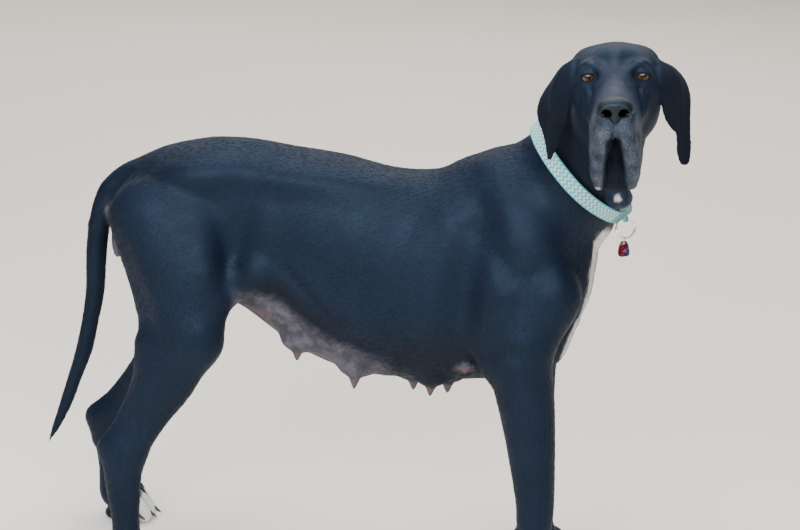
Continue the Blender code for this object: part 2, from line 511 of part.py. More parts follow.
def ear_forms(B, sides=(-1, 1)):
    for s in sides:
        g = ear_grid(s)
        w = np.array([in_head(p) for p in g.reshape(-1, 3)]).reshape(g.shape)
        B.add(sheet(w, np.interp(np.linspace(0, 1, g.shape[0] - 1), [0, 0.2, 1], [0.0060, 0.0034, 0.0028])), 0.006)
    return B

def whole_dog(ears=True):
    B = Flesh()
    trunk_forms(B)
    udder(B)
    neck_forms(B)
    for s in (NEAR, FAR):
        foreleg(B, s)
        paw(B, FORE_FOOT[s][0], FORE_FOOT[s][1], 1.0, -s * 4)
        hindleg(B, s)
        paw(B, HIND_FOOT[s][0], HIND_FOOT[s][1], 0.93, -s * 3)
    rear_fold(B)
    tail_forms(B)
    head_forms(B)
    if ears:
        ear_forms(B)
    return B

# ---------------------------------------------------------------- the collar
COLLAR_AT = np.array([0.4078, -0.0240, 0.7612])
COLLAR_AXIS = unit((0.68, -0.06, 0.72))
COLLAR_WIDTH, COLLAR_THICK, COLLAR_EASE = 0.0255, 0.0024, 0.0043
def collar_path(field, n=44):
    """Around the neck: the points where rays from the collar's middle leave the flesh, and the way out at each."""
    up = unit(np.cross(COLLAR_AXIS, (0, 1.0, 0)))
    up = up if up[2] > 0 else -up
    out = unit(np.cross(COLLAR_AXIS, up))
    rows = []
    r = np.arange(0.040, 0.150, 0.0005)
    for k in range(n):
        a = 2 * math.pi * k / n
        d = up * math.cos(a) + out * math.sin(a)
        best = 0
        for off in (-0.52, -0.26, 0.0, 0.26, 0.52):
            P = COLLAR_AT + COLLAR_AXIS * off * COLLAR_WIDTH + d * r[:, None]
            D = field.at(P)
            best = max(best, r[np.argmax(D > 0)])
        rows.append(best)
    R = np.array(rows)
    for _ in range(6):                      # a stiff band bridges the hollows
        R = np.maximum(R, (np.roll(R, 1) + np.roll(R, -1)) / 2)
    R = (np.roll(R, 1) + 2 * R + np.roll(R, -1)) / 4 + COLLAR_EASE
    dirs = np.array([up * math.cos(2 * math.pi * k / n) + out * math.sin(2 * math.pi * k / n) for k in range(n)])
    return COLLAR_AT + dirs * R[:, None], dirs

# ---------------------------------------------------------------- scene and materials
for o in list(bpy.data.objects):
    bpy.data.objects.remove(o)

parts = bpy.data.collections.new(NAME)
cutters = bpy.data.collections.new(NAME + "_cutters")
bpy.context.scene.collection.children.link(parts)
bpy.context.scene.collection.children.link(cutters)

def material(name, colour, rough, metal=0.0):
    m = bpy.data.materials.new(name)
    m.use_nodes = True
    b = m.node_tree.nodes["Principled BSDF"]
    b.inputs["Base Color"].default_value = (*colour, 1)
    b.inputs["Roughness"].default_value = rough
    b.inputs["Metallic"].default_value = metal
    m.diffuse_color = (*colour, 1)
    return m

COAT = ("coat", (0.012, 0.013, 0.016), 0.42)
LEATHER = ("nose leather", (0.010, 0.010, 0.011), 0.32)
EYE = ("amber eye", (0.060, 0.022, 0.008), 0.08)
CLAW = ("black claw", (0.020, 0.018, 0.017), 0.35)
WEBBING = ("teal webbing", (0.180, 0.560, 0.580), 0.80)
STEEL = ("bright steel", (0.720, 0.720, 0.740), 0.22, 1.0)
RED = ("red tag", (0.180, 0.010, 0.018), 0.35, 0.6)
BLUE = ("blue tag", (0.020, 0.060, 0.160), 0.35, 0.6)

def finish(o, name, look, to=None):
    """Names an object, puts it in its collection and gives it a material of its own."""
    for c in list(o.users_collection):
        c.objects.unlink(o)
    (to or parts).objects.link(o)
    o.name = o.data.name = name
    if look is not None:
        o.data.materials.clear()
        o.data.materials.append(material(name + " " + look[0], *look[1:]))
    return o

def object_of(name, verts, faces, to=None):
    me = bpy.data.meshes.new(name)
    me.from_pydata([tuple(map(float, v)) for v in verts], [], [tuple(map(int, f)) for f in faces])
    me.update()
    o = bpy.data.objects.new(name, me)
    (to or cutters).objects.link(o)
    return o

def applied(o):
    """Makes the object's modifiers part of its mesh."""
    bpy.context.view_layer.update()
    me = bpy.data.meshes.new_from_object(o.evaluated_get(bpy.context.evaluated_depsgraph_get()))
    o.modifiers.clear()
    o.data = me
    return o

def boolean(o, cutter, op="DIFFERENCE"):
    m = o.modifiers.new("cut", "BOOLEAN")
    m.operation, m.object, m.solver = op, cutter, "EXACT"
    return applied(o)

def axes_to(z, x=(1, 0, 0)):
    """A turn whose Z axis lies along z."""
    z = unit(z)
    x = np.asarray(x, float)
    x = unit(x - (x @ z) * z) if abs(x @ z) < 0.98 else unit(np.cross((0, 1, 0), z))
    return np.stack([x, np.cross(z, x), z], 1)

def place(o, at, R=None):
    M = np.eye(4)
    M[:3, :3] = np.eye(3) if R is None else R
    M[:3, 3] = at
    o.data.transform(Matrix(M.tolist()))
    o.data.update()
    return o

def primitive(add, name, **kw):
    add(**kw)
    o = bpy.context.active_object
    o.name = name
    for c in list(o.users_collection):
        c.objects.unlink(o)
    cutters.objects.link(o)
    return o

def disc(name, at, normal, radius, across=None, thick=None):
    """A thin round cutter; across squashes it along that direction of its plane."""
    o = primitive(bpy.ops.mesh.primitive_cylinder_add, name, vertices=16, radius=1, depth=thick or CUT)
    o.data.transform(Matrix.Diagonal((radius, across or radius, 1, 1)))
    return place(o, at, axes_to(normal))

def shell(name, at, radii, R=None):
    """A thin closed skin in the shape of an ellipsoid."""
    o = primitive(bpy.ops.mesh.primitive_uv_sphere_add, name, segments=14, ring_count=7, radius=1)
    o.data.transform(Matrix.Diagonal((*radii, 1)))
    place(o, at, R)
    m = o.modifiers.new("wall", "SOLIDIFY")
    m.thickness, m.offset = CUT, 0
    return applied(o)

def sampled(name, field, lo, hi, h, limit, side=None, level=0.0):
    """A field's surface as a closed mesh, thinned to a number of triangles."""
    ax = [np.arange(lo[i], hi[i] + h, h) for i in range(3)]
    D = field.fill(ax, np.full([len(a) for a in ax], 0.2, np.float32)) - level
    X, Y, Z = ax[0][:, None, None], ax[1][None, :, None], ax[2][None, None, :]
    if side is not None:
        D = np.maximum(D, (side(X, Y, Z)).astype(np.float32))
    v, q = contour(ax, D)
    o = object_of(name, v, q)
    bm = bmesh.new()
    bm.from_mesh(o.data)
    bmesh.ops.triangulate(bm, faces=bm.faces)
    n = len(bm.faces)
    bm.to_mesh(o.data)
    bm.free()
    d = o.modifiers.new("thin", "DECIMATE")
    d.decimate_type, d.ratio = "COLLAPSE", min(1.0, limit / n)
    return applied(o)

def loose(o):
    """The separate bodies of an object, as new objects, largest first."""
    bm = bmesh.new()
    bm.from_mesh(o.data)
    bm.verts.ensure_lookup_table()
    seen, out = set(), []
    for v in bm.verts:
        if v in seen:
            continue
        stack, group = [v], []
        seen.add(v)
        while stack:
            w = stack.pop()
            group.append(w)
            for e in w.link_edges:
                x = e.other_vert(w)
                if x not in seen:
                    seen.add(x)
                    stack.append(x)
        out.append(group)
    res = []
    for k, group in enumerate(sorted(out, key=len, reverse=True)):
        index = {v: i for i, v in enumerate(group)}
        faces = [[index[v] for v in f.verts] for f in bm.faces if f.verts[0] in index]
        res.append(object_of("body_%d" % k, [v.co for v in group], faces))
    bm.free()
    return res

def swollen(o, name, by):
    """A copy of a body with its skin moved outward."""
    c = object_of(name, [v.co for v in o.data.vertices], [list(f.vertices) for f in o.data.polygons])
    bm = bmesh.new()
    bm.from_mesh(c.data)
    bm.normal_update()
    for v in bm.verts:
        v.co += v.normal * by * v.calc_shell_factor()
    bm.to_mesh(c.data)
    bm.free()
    return c

def volume(o):
    bm = bmesh.new()
    bm.from_mesh(o.data)
    v = bm.calc_volume(signed=True)
    bm.free()
    return v

# ---------------------------------------------------------------- the flesh
NAPE_AT = np.array([0.4435, -0.0930, 0.8830])
NAPE_AXIS = unit((0.10, -0.88, 0.47))
def past_nape(X, Y, Z):
    return (X - NAPE_AT[0]) * NAPE_AXIS[0] + (Y - NAPE_AT[1]) * NAPE_AXIS[1] + (Z - NAPE_AT[2]) * NAPE_AXIS[2]

dog = whole_dog(ears=False)
low = np.min([f[1] for f, _, s in dog.ops if s > 0], 0) - 0.012
high = np.max([f[2] for f, _, s in dog.ops if s > 0], 0) + 0.012
flesh = sampled("flesh", dog, low, np.array([high[0], high[1], 1.00]), GRID, FLESH_TRIANGLES, lambda X, Y, Z: past_nape(X, Y, Z) - 0.012)
head = sampled("head", dog, np.array([0.340, -0.370, 0.740]), np.array([0.580, -0.020, 1.010]), HEAD_GRID, HEAD_TRIANGLES,
               lambda X, Y, Z: -0.012 - past_nape(X, Y, Z))

def half_space(name, sign):
    o = primitive(bpy.ops.mesh.primitive_cube_add, name, size=0.6)
    return place(o, NAPE_AT + NAPE_AXIS * sign * (0.3 - CUT / 2), axes_to(NAPE_AXIS))

flesh = boolean(flesh, half_space("beyond_nape", 1))
floor = primitive(bpy.ops.mesh.primitive_cube_add, "floor", size=2)      # the pads are worn flat at z = 0
flesh = boolean(flesh, place(floor, (0, 0, -1)))
head = boolean(head, half_space("behind_nape", -1))

# thin cuts: shells round the shoulders and hips, discs across the limbs, neck, trunk and tail
def mirror_y(p, s):
    return (p[0], s * abs(p[1]), p[2])

cuts = [disc("cut_neck", (0.345, 0, 0.690), (0.69, 0, 0.72), 0.175),
        disc("cut_waist", (-0.065, 0, 0.600), (1, 0, 0), 0.240),
        disc("cut_tail", (-0.4240, 0, 0.580), (0.12, 0, 1), 0.0250),
        disc("cut_tail_tip", (-0.4430, 0, 0.405), (0.22, 0, 1), 0.030)]
for s, side in ((NEAR, "right"), (FAR, "left")):
    cuts.append(shell("cut_shoulder_" + side, (0.332, s * 0.112, 0.520), (0.110, 0.080, 0.164), rot((0, 1, 0), -6)))
    cuts.append(shell("cut_hip_" + side, (-0.252, s * 0.112, 0.530), (0.128, 0.100, 0.150), rot((0, 1, 0), 10)))
    fx, fy = FORE_FOOT[s]
    dx = fx - FORE_FOOT[NEAR][0]
    cuts.append(disc("cut_wrist_" + side, (0.369 + dx, fy, 0.165), (0.06, 0, 1), 0.055))
    cuts.append(disc("cut_forefoot_" + side, (0.380 + dx, fy, 0.084), (-0.15, 0, 1), 0.060))
    A = np.array(HOCK[s])
    hx, hy = HIND_FOOT[s]
    cuts.append(disc("cut_hock_" + side, A + (0, 0, 0.004), (0.55, 0, 1), 0.075))
    cuts.append(disc("cut_hindfoot_" + side, (hx - 0.018, hy, 0.080), (-0.12, 0, 1), 0.060))
for c in cuts:
    flesh = boolean(flesh, c)

PLACES = {"neck": (0.400, -0.050, 0.800), "chest": (0.150, 0.0, 0.560), "loins": (-0.200, 0.0, 0.620),
          "tail": (-0.428, 0, 0.500), "tail_tip": (-0.480, 0, 0.290)}
for s, side in ((NEAR, "right"), (FAR, "left")):
    fx, fy = FORE_FOOT[s]
    hx, hy = HIND_FOOT[s]
    K, A = np.array(KNEE[s]), np.array(HOCK[s])
    PLACES["shoulder_" + side] = (0.332, s * 0.108, 0.520)
    PLACES["forearm_" + side] = (0.360, fy, 0.270)
    PLACES["pastern_" + side] = (fx - 0.022, fy, 0.125)
    PLACES["forepaw_" + side] = (fx + 0.010, fy, 0.035)
    PLACES["thigh_" + side] = (-0.250, s * 0.110, 0.520)
    PLACES["shank_" + side] = tuple(K * 0.45 + A * 0.55)
    PLACES["hock_" + side] = (A[0], hy, 0.145)
    PLACES["hindpaw_" + side] = (hx + 0.010, hy, 0.035)

def middle(o):
    v = np.array([w.co for w in o.data.vertices])
    return (v.min(0) + v.max(0)) / 2

def name_bodies(o, places):
    """Gives each loose body of o the name of the nearest place that is still free; a chip too small to name is dropped."""
    bodies = [b for b in loose(o) if volume(b) > 2e-7]
    pairs = sorted((float(np.linalg.norm(middle(b) - places[n])), i, n) for i, b in enumerate(bodies) for n in places)
    used, taken, out = set(), set(), {}
    for d, i, n in pairs:
        if i not in used and n not in taken:
            used.add(i)
            taken.add(n)
            out[n] = bodies[i]
    return out

pieces = name_bodies(flesh, PLACES)

# ---------------------------------------------------------------- the head's own pieces
def in_head_R(R=None):
    return HEAD @ (np.eye(3) if R is None else R)

noses = joined(nose_forms())
nose_field = Flesh()
nose_field.ops.append((placed(noses, HEAD, EYES_AT), 0.001, 1))
nf = nose_field.ops[0][0]
nose = sampled("nose", nose_field, nf[1] - 0.006, nf[2] + 0.006, 0.0016, 260)
head = boolean(head, swollen(nose, "nose_hole", GAP * 1.3))

eyes = {}
for s, side in ((-1, "right"), (1, "left")):
    at = in_head((EYE_X, s * EYE_Y, EYE_Z))
    for name, r in (("eye_" + side, EYE_R), ("socket_" + side, EYE_R + GAP)):
        o = primitive(bpy.ops.mesh.primitive_uv_sphere_add, name, segments=12, ring_count=8, radius=r)
        place(o, at, in_head_R(axes_to((1, s * 0.2, 0))))
        if name.startswith("eye"):
            eyes[name] = o
        else:
            head = boolean(head, o)
head = max(loose(head), key=volume)

# each ear is cut by the head a little swollen, so that its root fits the skull
skin_of_head = swollen(head, "ear_roots", GAP * 2.0)
ears = {}
for s, side in ((-1, "right"), (1, "left")):
    E = Flesh()
    ear_forms(E, (s,))
    f = E.ops[0][0]
    e = sampled("ear", E, f[1] - 0.008, f[2] + 0.008, 0.0020, 290)
    e = boolean(e, skin_of_head)
    ears["ear_" + side] = max(loose(e), key=volume)

# ---------------------------------------------------------------- claws
def claw(name, tip, forward, grow=0.0):
    """A short blunt claw from just inside the toe's end, bent down to just above the floor."""
    o = primitive(bpy.ops.mesh.primitive_cone_add, name, vertices=6, radius1=0.0042 + grow, radius2=0.0012 + grow, depth=0.019 + grow)
    bm = bmesh.new()
    bm.from_mesh(o.data)
    bmesh.ops.subdivide_edges(bm, edges=[e for e in bm.edges if abs(e.verts[0].co.z - e.verts[1].co.z) > 0.005], cuts=1)
    for v in bm.verts:
        t = (v.co.z + 0.0095) / 0.019
        v.co.x += 0.0040 * t * t
        v.co.y *= 0.80
    bmesh.ops.triangulate(bm, faces=bm.faces)
    bmesh.ops.recalc_face_normals(bm, faces=bm.faces)
    bm.to_mesh(o.data)
    bm.free()
    z = unit(np.asarray(forward) * 1.0 + (0, 0, -0.30))
    R = axes_to(z, (0, 0, -1.0))
    return place(o, tip, R)

claws = {}
for s, side in ((NEAR, "right"), (FAR, "left")):
    for foot, (x, y), size, turn in (("forepaw", FORE_FOOT[s], 1.0, -s * 4), ("hindpaw", HIND_FOOT[s], 0.93, -s * 3)):
        for i in range(4):
            line = toe_line(i, x, y, size, turn)
            fwd = unit((line[3] - line[2]) * (1, 1, 0))
            at = line[3] + fwd * 0.0145 * size + (0, 0, 0.0035)
            name = "claw_%s_%s_%d" % (foot[:4], side, i + 1)
            claws[name] = claw(name, at, fwd)
            cutter = claw(name + "_hole", at, fwd, GAP)
            pieces[foot + "_" + side] = boolean(pieces[foot + "_" + side], cutter)

# ---------------------------------------------------------------- collar, ring and tags
around, dirs = collar_path(dog, 36)
def band_rows(grow=0.0):
    n = len(around)
    inner, outer = [], []
    rows = []
    for off, t in ((-0.5, 0.0), (-0.5, COLLAR_THICK), (0.5, COLLAR_THICK), (0.5, 0.0)):
        rows.append(around + COLLAR_AXIS * off * COLLAR_WIDTH + dirs * t)
    return np.array(rows)
rows = band_rows()
n, m = rows.shape[1], rows.shape[0]
verts = rows.transpose(1, 0, 2).reshape(-1, 3)
faces = [[i * m + j, ((i + 1) % n) * m + j, ((i + 1) % n) * m + (j + 1) % m, i * m + (j + 1) % m] for i in range(n) for j in range(m)]
collar = object_of("collar", verts, faces)
bm = bmesh.new()
bm.from_mesh(collar.data)
bmesh.ops.recalc_face_normals(bm, faces=bm.faces)
bm.to_mesh(collar.data)
bm.free()
if volume(collar) < 0:
    collar.data.flip_normals()

RING_R, RING_WIRE = 0.0155, 0.0017
LINK_R, LINK_WIRE = 0.0055, 0.0007
TAG_LONG, TAG_WIDE, TAG_THICK, TAG_HOLE = 0.0260, 0.0135, 0.0012, 0.0016
front = int(np.argmax(around @ np.array((0.71, -0.40, -0.58))))
out = dirs[front]
hang = math.radians(40)
LOOP_AT = around[front] + out * (COLLAR_THICK * 1.05 + 0.0060) + COLLAR_AXIS * 0.0070
loop = primitive(bpy.ops.mesh.primitive_torus_add, "loop", major_segments=10, minor_segments=5, major_radius=0.0046, minor_radius=0.0010)
loop.data.transform(Matrix.Diagonal((1, 1, 2.0, 1)))
loop = place(loop, LOOP_AT, axes_to(COLLAR_AXIS * math.cos(hang) + out * math.sin(hang), out))
RING_AT = LOOP_AT + (out * math.cos(hang) - COLLAR_AXIS * math.sin(hang)) * RING_R
ring_face = unit(np.cross(COLLAR_AXIS, out))
ring = primitive(bpy.ops.mesh.primitive_torus_add, "ring", major_segments=20, minor_segments=5, major_radius=RING_R, minor_radius=RING_WIRE)
ring = place(ring, RING_AT, axes_to(ring_face))
low_point = RING_AT + unit(np.array((0, 0, -1.0)) - ring_face * (-ring_face[2])) * RING_R
LINK_AT = low_point + (0, 0, -(LINK_R - LINK_WIRE - RING_WIRE - GAP))
link_ring = primitive(bpy.ops.mesh.primitive_torus_add, "link", major_segments=12, minor_segments=4, major_radius=LINK_R, minor_radius=LINK_WIRE)
link_ring = place(link_ring, LINK_AT, axes_to((1, 0, 0)))

def tag(name, y, swing):
    """A flat tag with round ends and a hole, hung by the hole from the small ring."""
    o = primitive(bpy.ops.mesh.primitive_cube_add, name, size=1)
    o.data.transform(Matrix.Diagonal((TAG_WIDE, TAG_THICK, TAG_LONG, 1)))
    bm = bmesh.new()
    bm.from_mesh(o.data)
    bmesh.ops.bevel(bm, geom=[e for e in bm.edges if abs(e.verts[0].co.y - e.verts[1].co.y) > TAG_THICK / 2],
                    offset=TAG_WIDE * 0.38, segments=2, affect="EDGES")
    bm.to_mesh(o.data)
    bm.free()
    o.data.transform(Matrix.Translation((0, 0, -TAG_LONG / 2 + 0.0036)))
    hole = primitive(bpy.ops.mesh.primitive_cylinder_add, name + "_hole", vertices=8, radius=TAG_HOLE, depth=TAG_THICK * 3)
    hole.data.transform(Matrix.Rotation(math.pi / 2, 4, "X"))
    o = boolean(o, hole)
    return place(o, LINK_AT + (0, y, -LINK_R - 0.0003), rot((0, 1, 0), swing))

tag_front = tag("tag_red", -0.0013, 7)
tag_back = tag("tag_blue", 0.0013, -14)

# ---------------------------------------------------------------- names and materials
keep = set(pieces.values()) | set(ears.values()) | set(eyes.values()) | set(claws.values()) | {head, nose, collar, loop, ring, link_ring, tag_front, tag_back}
for o in list(cutters.objects):
    if o not in keep and not o.name.startswith("cut_"):
        bpy.data.objects.remove(o)
for n, o in pieces.items():
    finish(o, n, COAT)
finish(head, "head", COAT)
for n, o in ears.items():
    finish(o, n, COAT)
finish(nose, "nose", LEATHER)
for n, o in eyes.items():
    finish(o, n, EYE)
for n, o in claws.items():
    finish(o, n, CLAW)
for o, n, look in ((collar, "collar", WEBBING), (loop, "collar_loop", WEBBING), (ring, "collar_ring", STEEL),
                   (link_ring, "tag_link", STEEL), (tag_front, "tag_red", RED), (tag_back, "tag_blue", BLUE)):
    finish(o, n, look)

for o in cutters.objects:
    o.hide_render = True
    o.display_type = "WIRE"

for o in parts.objects:
    o.data.transform(Matrix.Translation((-SHIFT).tolist()))
    bm = bmesh.new()
    bm.from_mesh(o.data)
    bmesh.ops.triangulate(bm, faces=bm.faces)
    bmesh.ops.dissolve_degenerate(bm, edges=bm.edges, dist=0.000004)
    bmesh.ops.triangulate(bm, faces=bm.faces)
    bm.to_mesh(o.data)
    bm.free()
    if o.name in ("collar_loop", "collar_ring", "tag_link") or o.name.startswith("eye"):
        o.data.shade_smooth()
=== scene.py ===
import math
import bpy
import bmesh
import numpy as np
from mathutils import Matrix, Vector, noise
from mathutils.bvhtree import BVHTree
from mathutils.kdtree import KDTree


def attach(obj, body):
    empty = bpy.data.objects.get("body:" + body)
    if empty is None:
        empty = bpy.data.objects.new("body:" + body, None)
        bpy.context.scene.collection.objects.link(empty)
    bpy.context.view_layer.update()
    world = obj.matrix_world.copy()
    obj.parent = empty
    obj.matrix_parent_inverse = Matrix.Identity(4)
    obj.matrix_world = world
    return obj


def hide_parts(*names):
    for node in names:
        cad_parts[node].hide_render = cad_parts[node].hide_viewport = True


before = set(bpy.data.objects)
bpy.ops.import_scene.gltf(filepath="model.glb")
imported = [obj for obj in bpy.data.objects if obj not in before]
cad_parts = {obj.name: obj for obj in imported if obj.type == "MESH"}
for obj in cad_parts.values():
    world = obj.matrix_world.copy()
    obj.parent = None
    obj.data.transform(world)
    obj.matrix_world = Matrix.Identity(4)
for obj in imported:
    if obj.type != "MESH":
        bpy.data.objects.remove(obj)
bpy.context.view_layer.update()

RNG = np.random.default_rng(7)

# The dog's skin is one surface drawn from the same soft forms as the solids, set in by the depth of
# the coat, with folds, lids and lips worked into it. Short tufts lie over it. Lengths in metres.
SKIN_GRID = 0.0027
COAT_DEPTH, FACE_DEPTH = 0.0020, 0.0006
SKIN_TRIANGLES = 190000

# ---------------------------------------------------------------- soft forms
# Every form is a distance function (negative inside) with the low and high corners of its box.
def unit(a):
    a = np.asarray(a, float)
    return a / np.linalg.norm(a)

def smin(a, b, k):
    h = np.clip(0.5 + 0.5 * (b - a) / k, 0.0, 1.0)
    return b * (1 - h) + a * h - k * h * (1 - h)

def smax(a, b, k):
    return -smin(-a, -b, k)

def spline(rows, n):
    """A Catmull-Rom curve through rows of numbers, n steps to a span."""
    p = np.asarray(rows, float)
    p = np.vstack([2 * p[0] - p[1], p, 2 * p[-1] - p[-2]])
    t = (np.arange(n) / n)[:, None]
    out = [0.5 * (2 * p[i] + (p[i + 1] - p[i - 1]) * t
                  + (2 * p[i - 1] - 5 * p[i] + 4 * p[i + 1] - p[i + 2]) * t * t
                  + (3 * p[i] - p[i - 1] - 3 * p[i + 1] + p[i + 2]) * t ** 3)
           for i in range(1, len(p) - 2)]
    return np.vstack(out + [p[-2:-1]])

def rot(axis, deg):
    x, y, z = unit(axis)
    t = math.radians(deg)
    c, s = math.cos(t), math.sin(t)
    return np.array([[c + x * x * (1 - c), x * y * (1 - c) - z * s, x * z * (1 - c) + y * s],
                     [y * x * (1 - c) + z * s, c + y * y * (1 - c), y * z * (1 - c) - x * s],
                     [z * x * (1 - c) - y * s, z * y * (1 - c) + x * s, c + z * z * (1 - c)]])

def ellipsoid(c, r, R=None):
    c, r = np.asarray(c, float), np.asarray(r, float)
    R = np.eye(3) if R is None else R
    def f(P):
        q = (P - c) @ R
        k0 = np.sqrt(((q / r) ** 2).sum(-1))
        k1 = np.sqrt(((q / r ** 2) ** 2).sum(-1)) + 1e-9
        return np.where(k0 < 1e-4, -r.min(), k0 * (k0 - 1) / k1)
    ext = np.sqrt(((R * r) ** 2).sum(1))
    return f, c - ext, c + ext

def tube(points, radii, side=None, flat=1.0, steps=4):
    """A tapering tube; along side its section is flat times as wide as its radius."""
    rows = spline([list(p) + [r] for p, r in zip(points, radii)], steps)
    pts, rad = rows[:, :3], np.maximum(rows[:, 3], 1e-4)
    fl = np.full(len(rad), float(flat)) if np.isscalar(flat) else spline([[x] for x in flat], steps)[:, 0]
    def f(P):
        best = np.full(P.shape[:-1], 1e3)
        for i in range(len(pts) - 1):
            w = pts[i + 1] - pts[i]
            L = np.linalg.norm(w)
            if L < 1e-7:
                continue
            w = w / L
            q = P - pts[i]
            t = np.clip((q @ w) / L, 0, 1)
            off = q - (t * L)[..., None] * w
            d = np.sqrt((off ** 2).sum(-1))
            r = rad[i] * (1 - t) + rad[i + 1] * t
            if side is None:
                d = d - r
            else:
                u = np.asarray(side, float)
                u = unit(u - (u @ w) * w)
                s = fl[i] * (1 - t) + fl[i + 1] * t
                ou = off @ u
                ds = np.sqrt(np.maximum(d * d - ou * ou, 0) + (ou / s) ** 2)
                d = (ds - r) * (d + 1e-6) / (ds + 1e-6)
            best = np.minimum(best, d)
        return best
    m = (rad * np.maximum(fl, 1.0))[:, None]
    return f, (pts - m).min(0), (pts + m).max(0)

def hull_x(stations, power):
    """A body along X from stations (x, top, bottom, half width, lean); lean above 0 narrows its top, below 0 its underside."""
    fine = spline(stations, 10)
    fine = fine[np.argsort(fine[:, 0])]
    x0, x1 = fine[0, 0], fine[-1, 0]
    def f(P):
        x = np.clip(P[..., 0], x0, x1)
        top, bot, w, lean = (np.interp(x, fine[:, 0], fine[:, j]) for j in (1, 2, 3, 4))
        zc, h = (top + bot) / 2, np.maximum((top - bot) / 2, 1e-3)
        zr = np.clip((P[..., 2] - zc) / h, -1.2, 1.2)
        w = np.maximum(w, 1e-3) * np.clip(1 - lean * zr, 0.2, 3)
        a, b = np.abs(P[..., 1]) / w, np.abs(zr)
        a = np.minimum(a, 50)
        q = (a ** power + b ** power) ** (1 / power) + 1e-6
        g = np.sqrt(((a / q) ** (power - 1) / w) ** 2 + ((b / q) ** (power - 1) / h) ** 2) + 1e-9
        d = (q - 1) / g
        dx = np.abs(P[..., 0] - x)
        return np.where(dx > 0, np.sqrt(np.maximum(d, 0) ** 2 + dx * dx), d)
    W = (fine[:, 3] * (1 + np.abs(fine[:, 4]))).max()
    return f, np.array([x0, -W, fine[:, 2].min()]), np.array([x1, W, fine[:, 1].max()])

def sheet(grid, thick):
    """A thin flap around a grid of points; thick is its half thickness at each grid row."""
    g = np.asarray(grid, float)
    n, m = g.shape[:2]
    pts = g.reshape(-1, 3)
    quads = [(i * m + j, i * m + j + 1, (i + 1) * m + j + 1, (i + 1) * m + j) for i in range(n - 1) for j in range(m - 1)]
    tree = BVHTree.FromPolygons([tuple(p) for p in pts], quads)
    th = np.asarray(thick, float)
    def f(P):
        Q = P.reshape(-1, 3)
        out = np.empty(len(Q))
        for k, p in enumerate(Q):
            hit = tree.find_nearest(p)
            out[k] = hit[3] - th[hit[2] // (m - 1)]
        return out.reshape(P.shape[:-1])
    t = th.max()
    return f, pts.min(0) - t, pts.max(0) + t

def placed(form, R, o):
    """A form modelled in its own axes (the columns of R), moved to o."""
    f, lo, hi = form
    box = np.array([[x, y, z] for x in (lo[0], hi[0]) for y in (lo[1], hi[1]) for z in (lo[2], hi[2])]) @ R.T + o
    return (lambda P: f((P - o) @ R)), box.min(0), box.max(0)

class Flesh:
    """Forms joined, or cut away, softly one after another."""
    def __init__(self):
        self.ops = []
    def add(self, form, k=0.02):
        self.ops.append((form, k, 1))
        return self
    def cut(self, form, k=0.01):
        self.ops.append((form, k, -1))
        return self
    def at(self, P):
        P = np.asarray(P, float)
        D = np.full(len(P), 0.2)
        for form, k, sign in self.ops:
            f, lo, hi = form
            pad = 1.3 * k + 0.006
            m = ((P >= lo - pad) & (P <= hi + pad)).all(1)
            if m.any():
                d = f(P[m])
                D[m] = smin(D[m], d, k) if sign > 0 else smax(D[m], -d, k)
        return D
    def fill(self, ax, D):
        for form, k, sign in self.ops:
            f, lo, hi = form
            pad = 1.3 * k + 0.006
            s = tuple(slice(*np.searchsorted(ax[i], (lo[i] - pad, hi[i] + pad))) for i in range(3))
            if any(x.stop - x.start < 1 for x in s):
                continue
            X = np.stack(np.meshgrid(*[ax[i][s[i]] for i in range(3)], indexing="ij"), -1)
            d = f(X).astype(np.float32)
            D[s] = smin(D[s], d, k) if sign > 0 else smax(D[s], -d, k)
        return D

def unpinched(D):
    """Where two skins would meet along one cell edge (a face of the grid with alternating signs), the weakest corner changes side."""
    for _ in range(8):
        found = 0
        for u, v in ((0, 1), (1, 2), (0, 2)):
            cut = []
            for i, j in ((0, 0), (1, 0), (0, 1), (1, 1)):
                s = [slice(None)] * 3
                s[u] = slice(i, D.shape[u] - 1 + i)
                s[v] = slice(j, D.shape[v] - 1 + j)
                cut.append(tuple(s))
            a, b, c, d = (D[s] < 0 for s in cut)
            bad = np.argwhere((a == d) & (b == c) & (a != b))
            found += len(bad)
            for cell in bad:
                corners = []
                for i, j in ((0, 0), (1, 0), (0, 1), (1, 1)):
                    w = cell.copy()
                    w[u] += i
                    w[v] += j
                    corners.append(tuple(w))
                w = min(corners, key=lambda w: abs(D[w]))
                D[w] = -math.copysign(1e-5, D[w])
        if not found:
            break
    return D

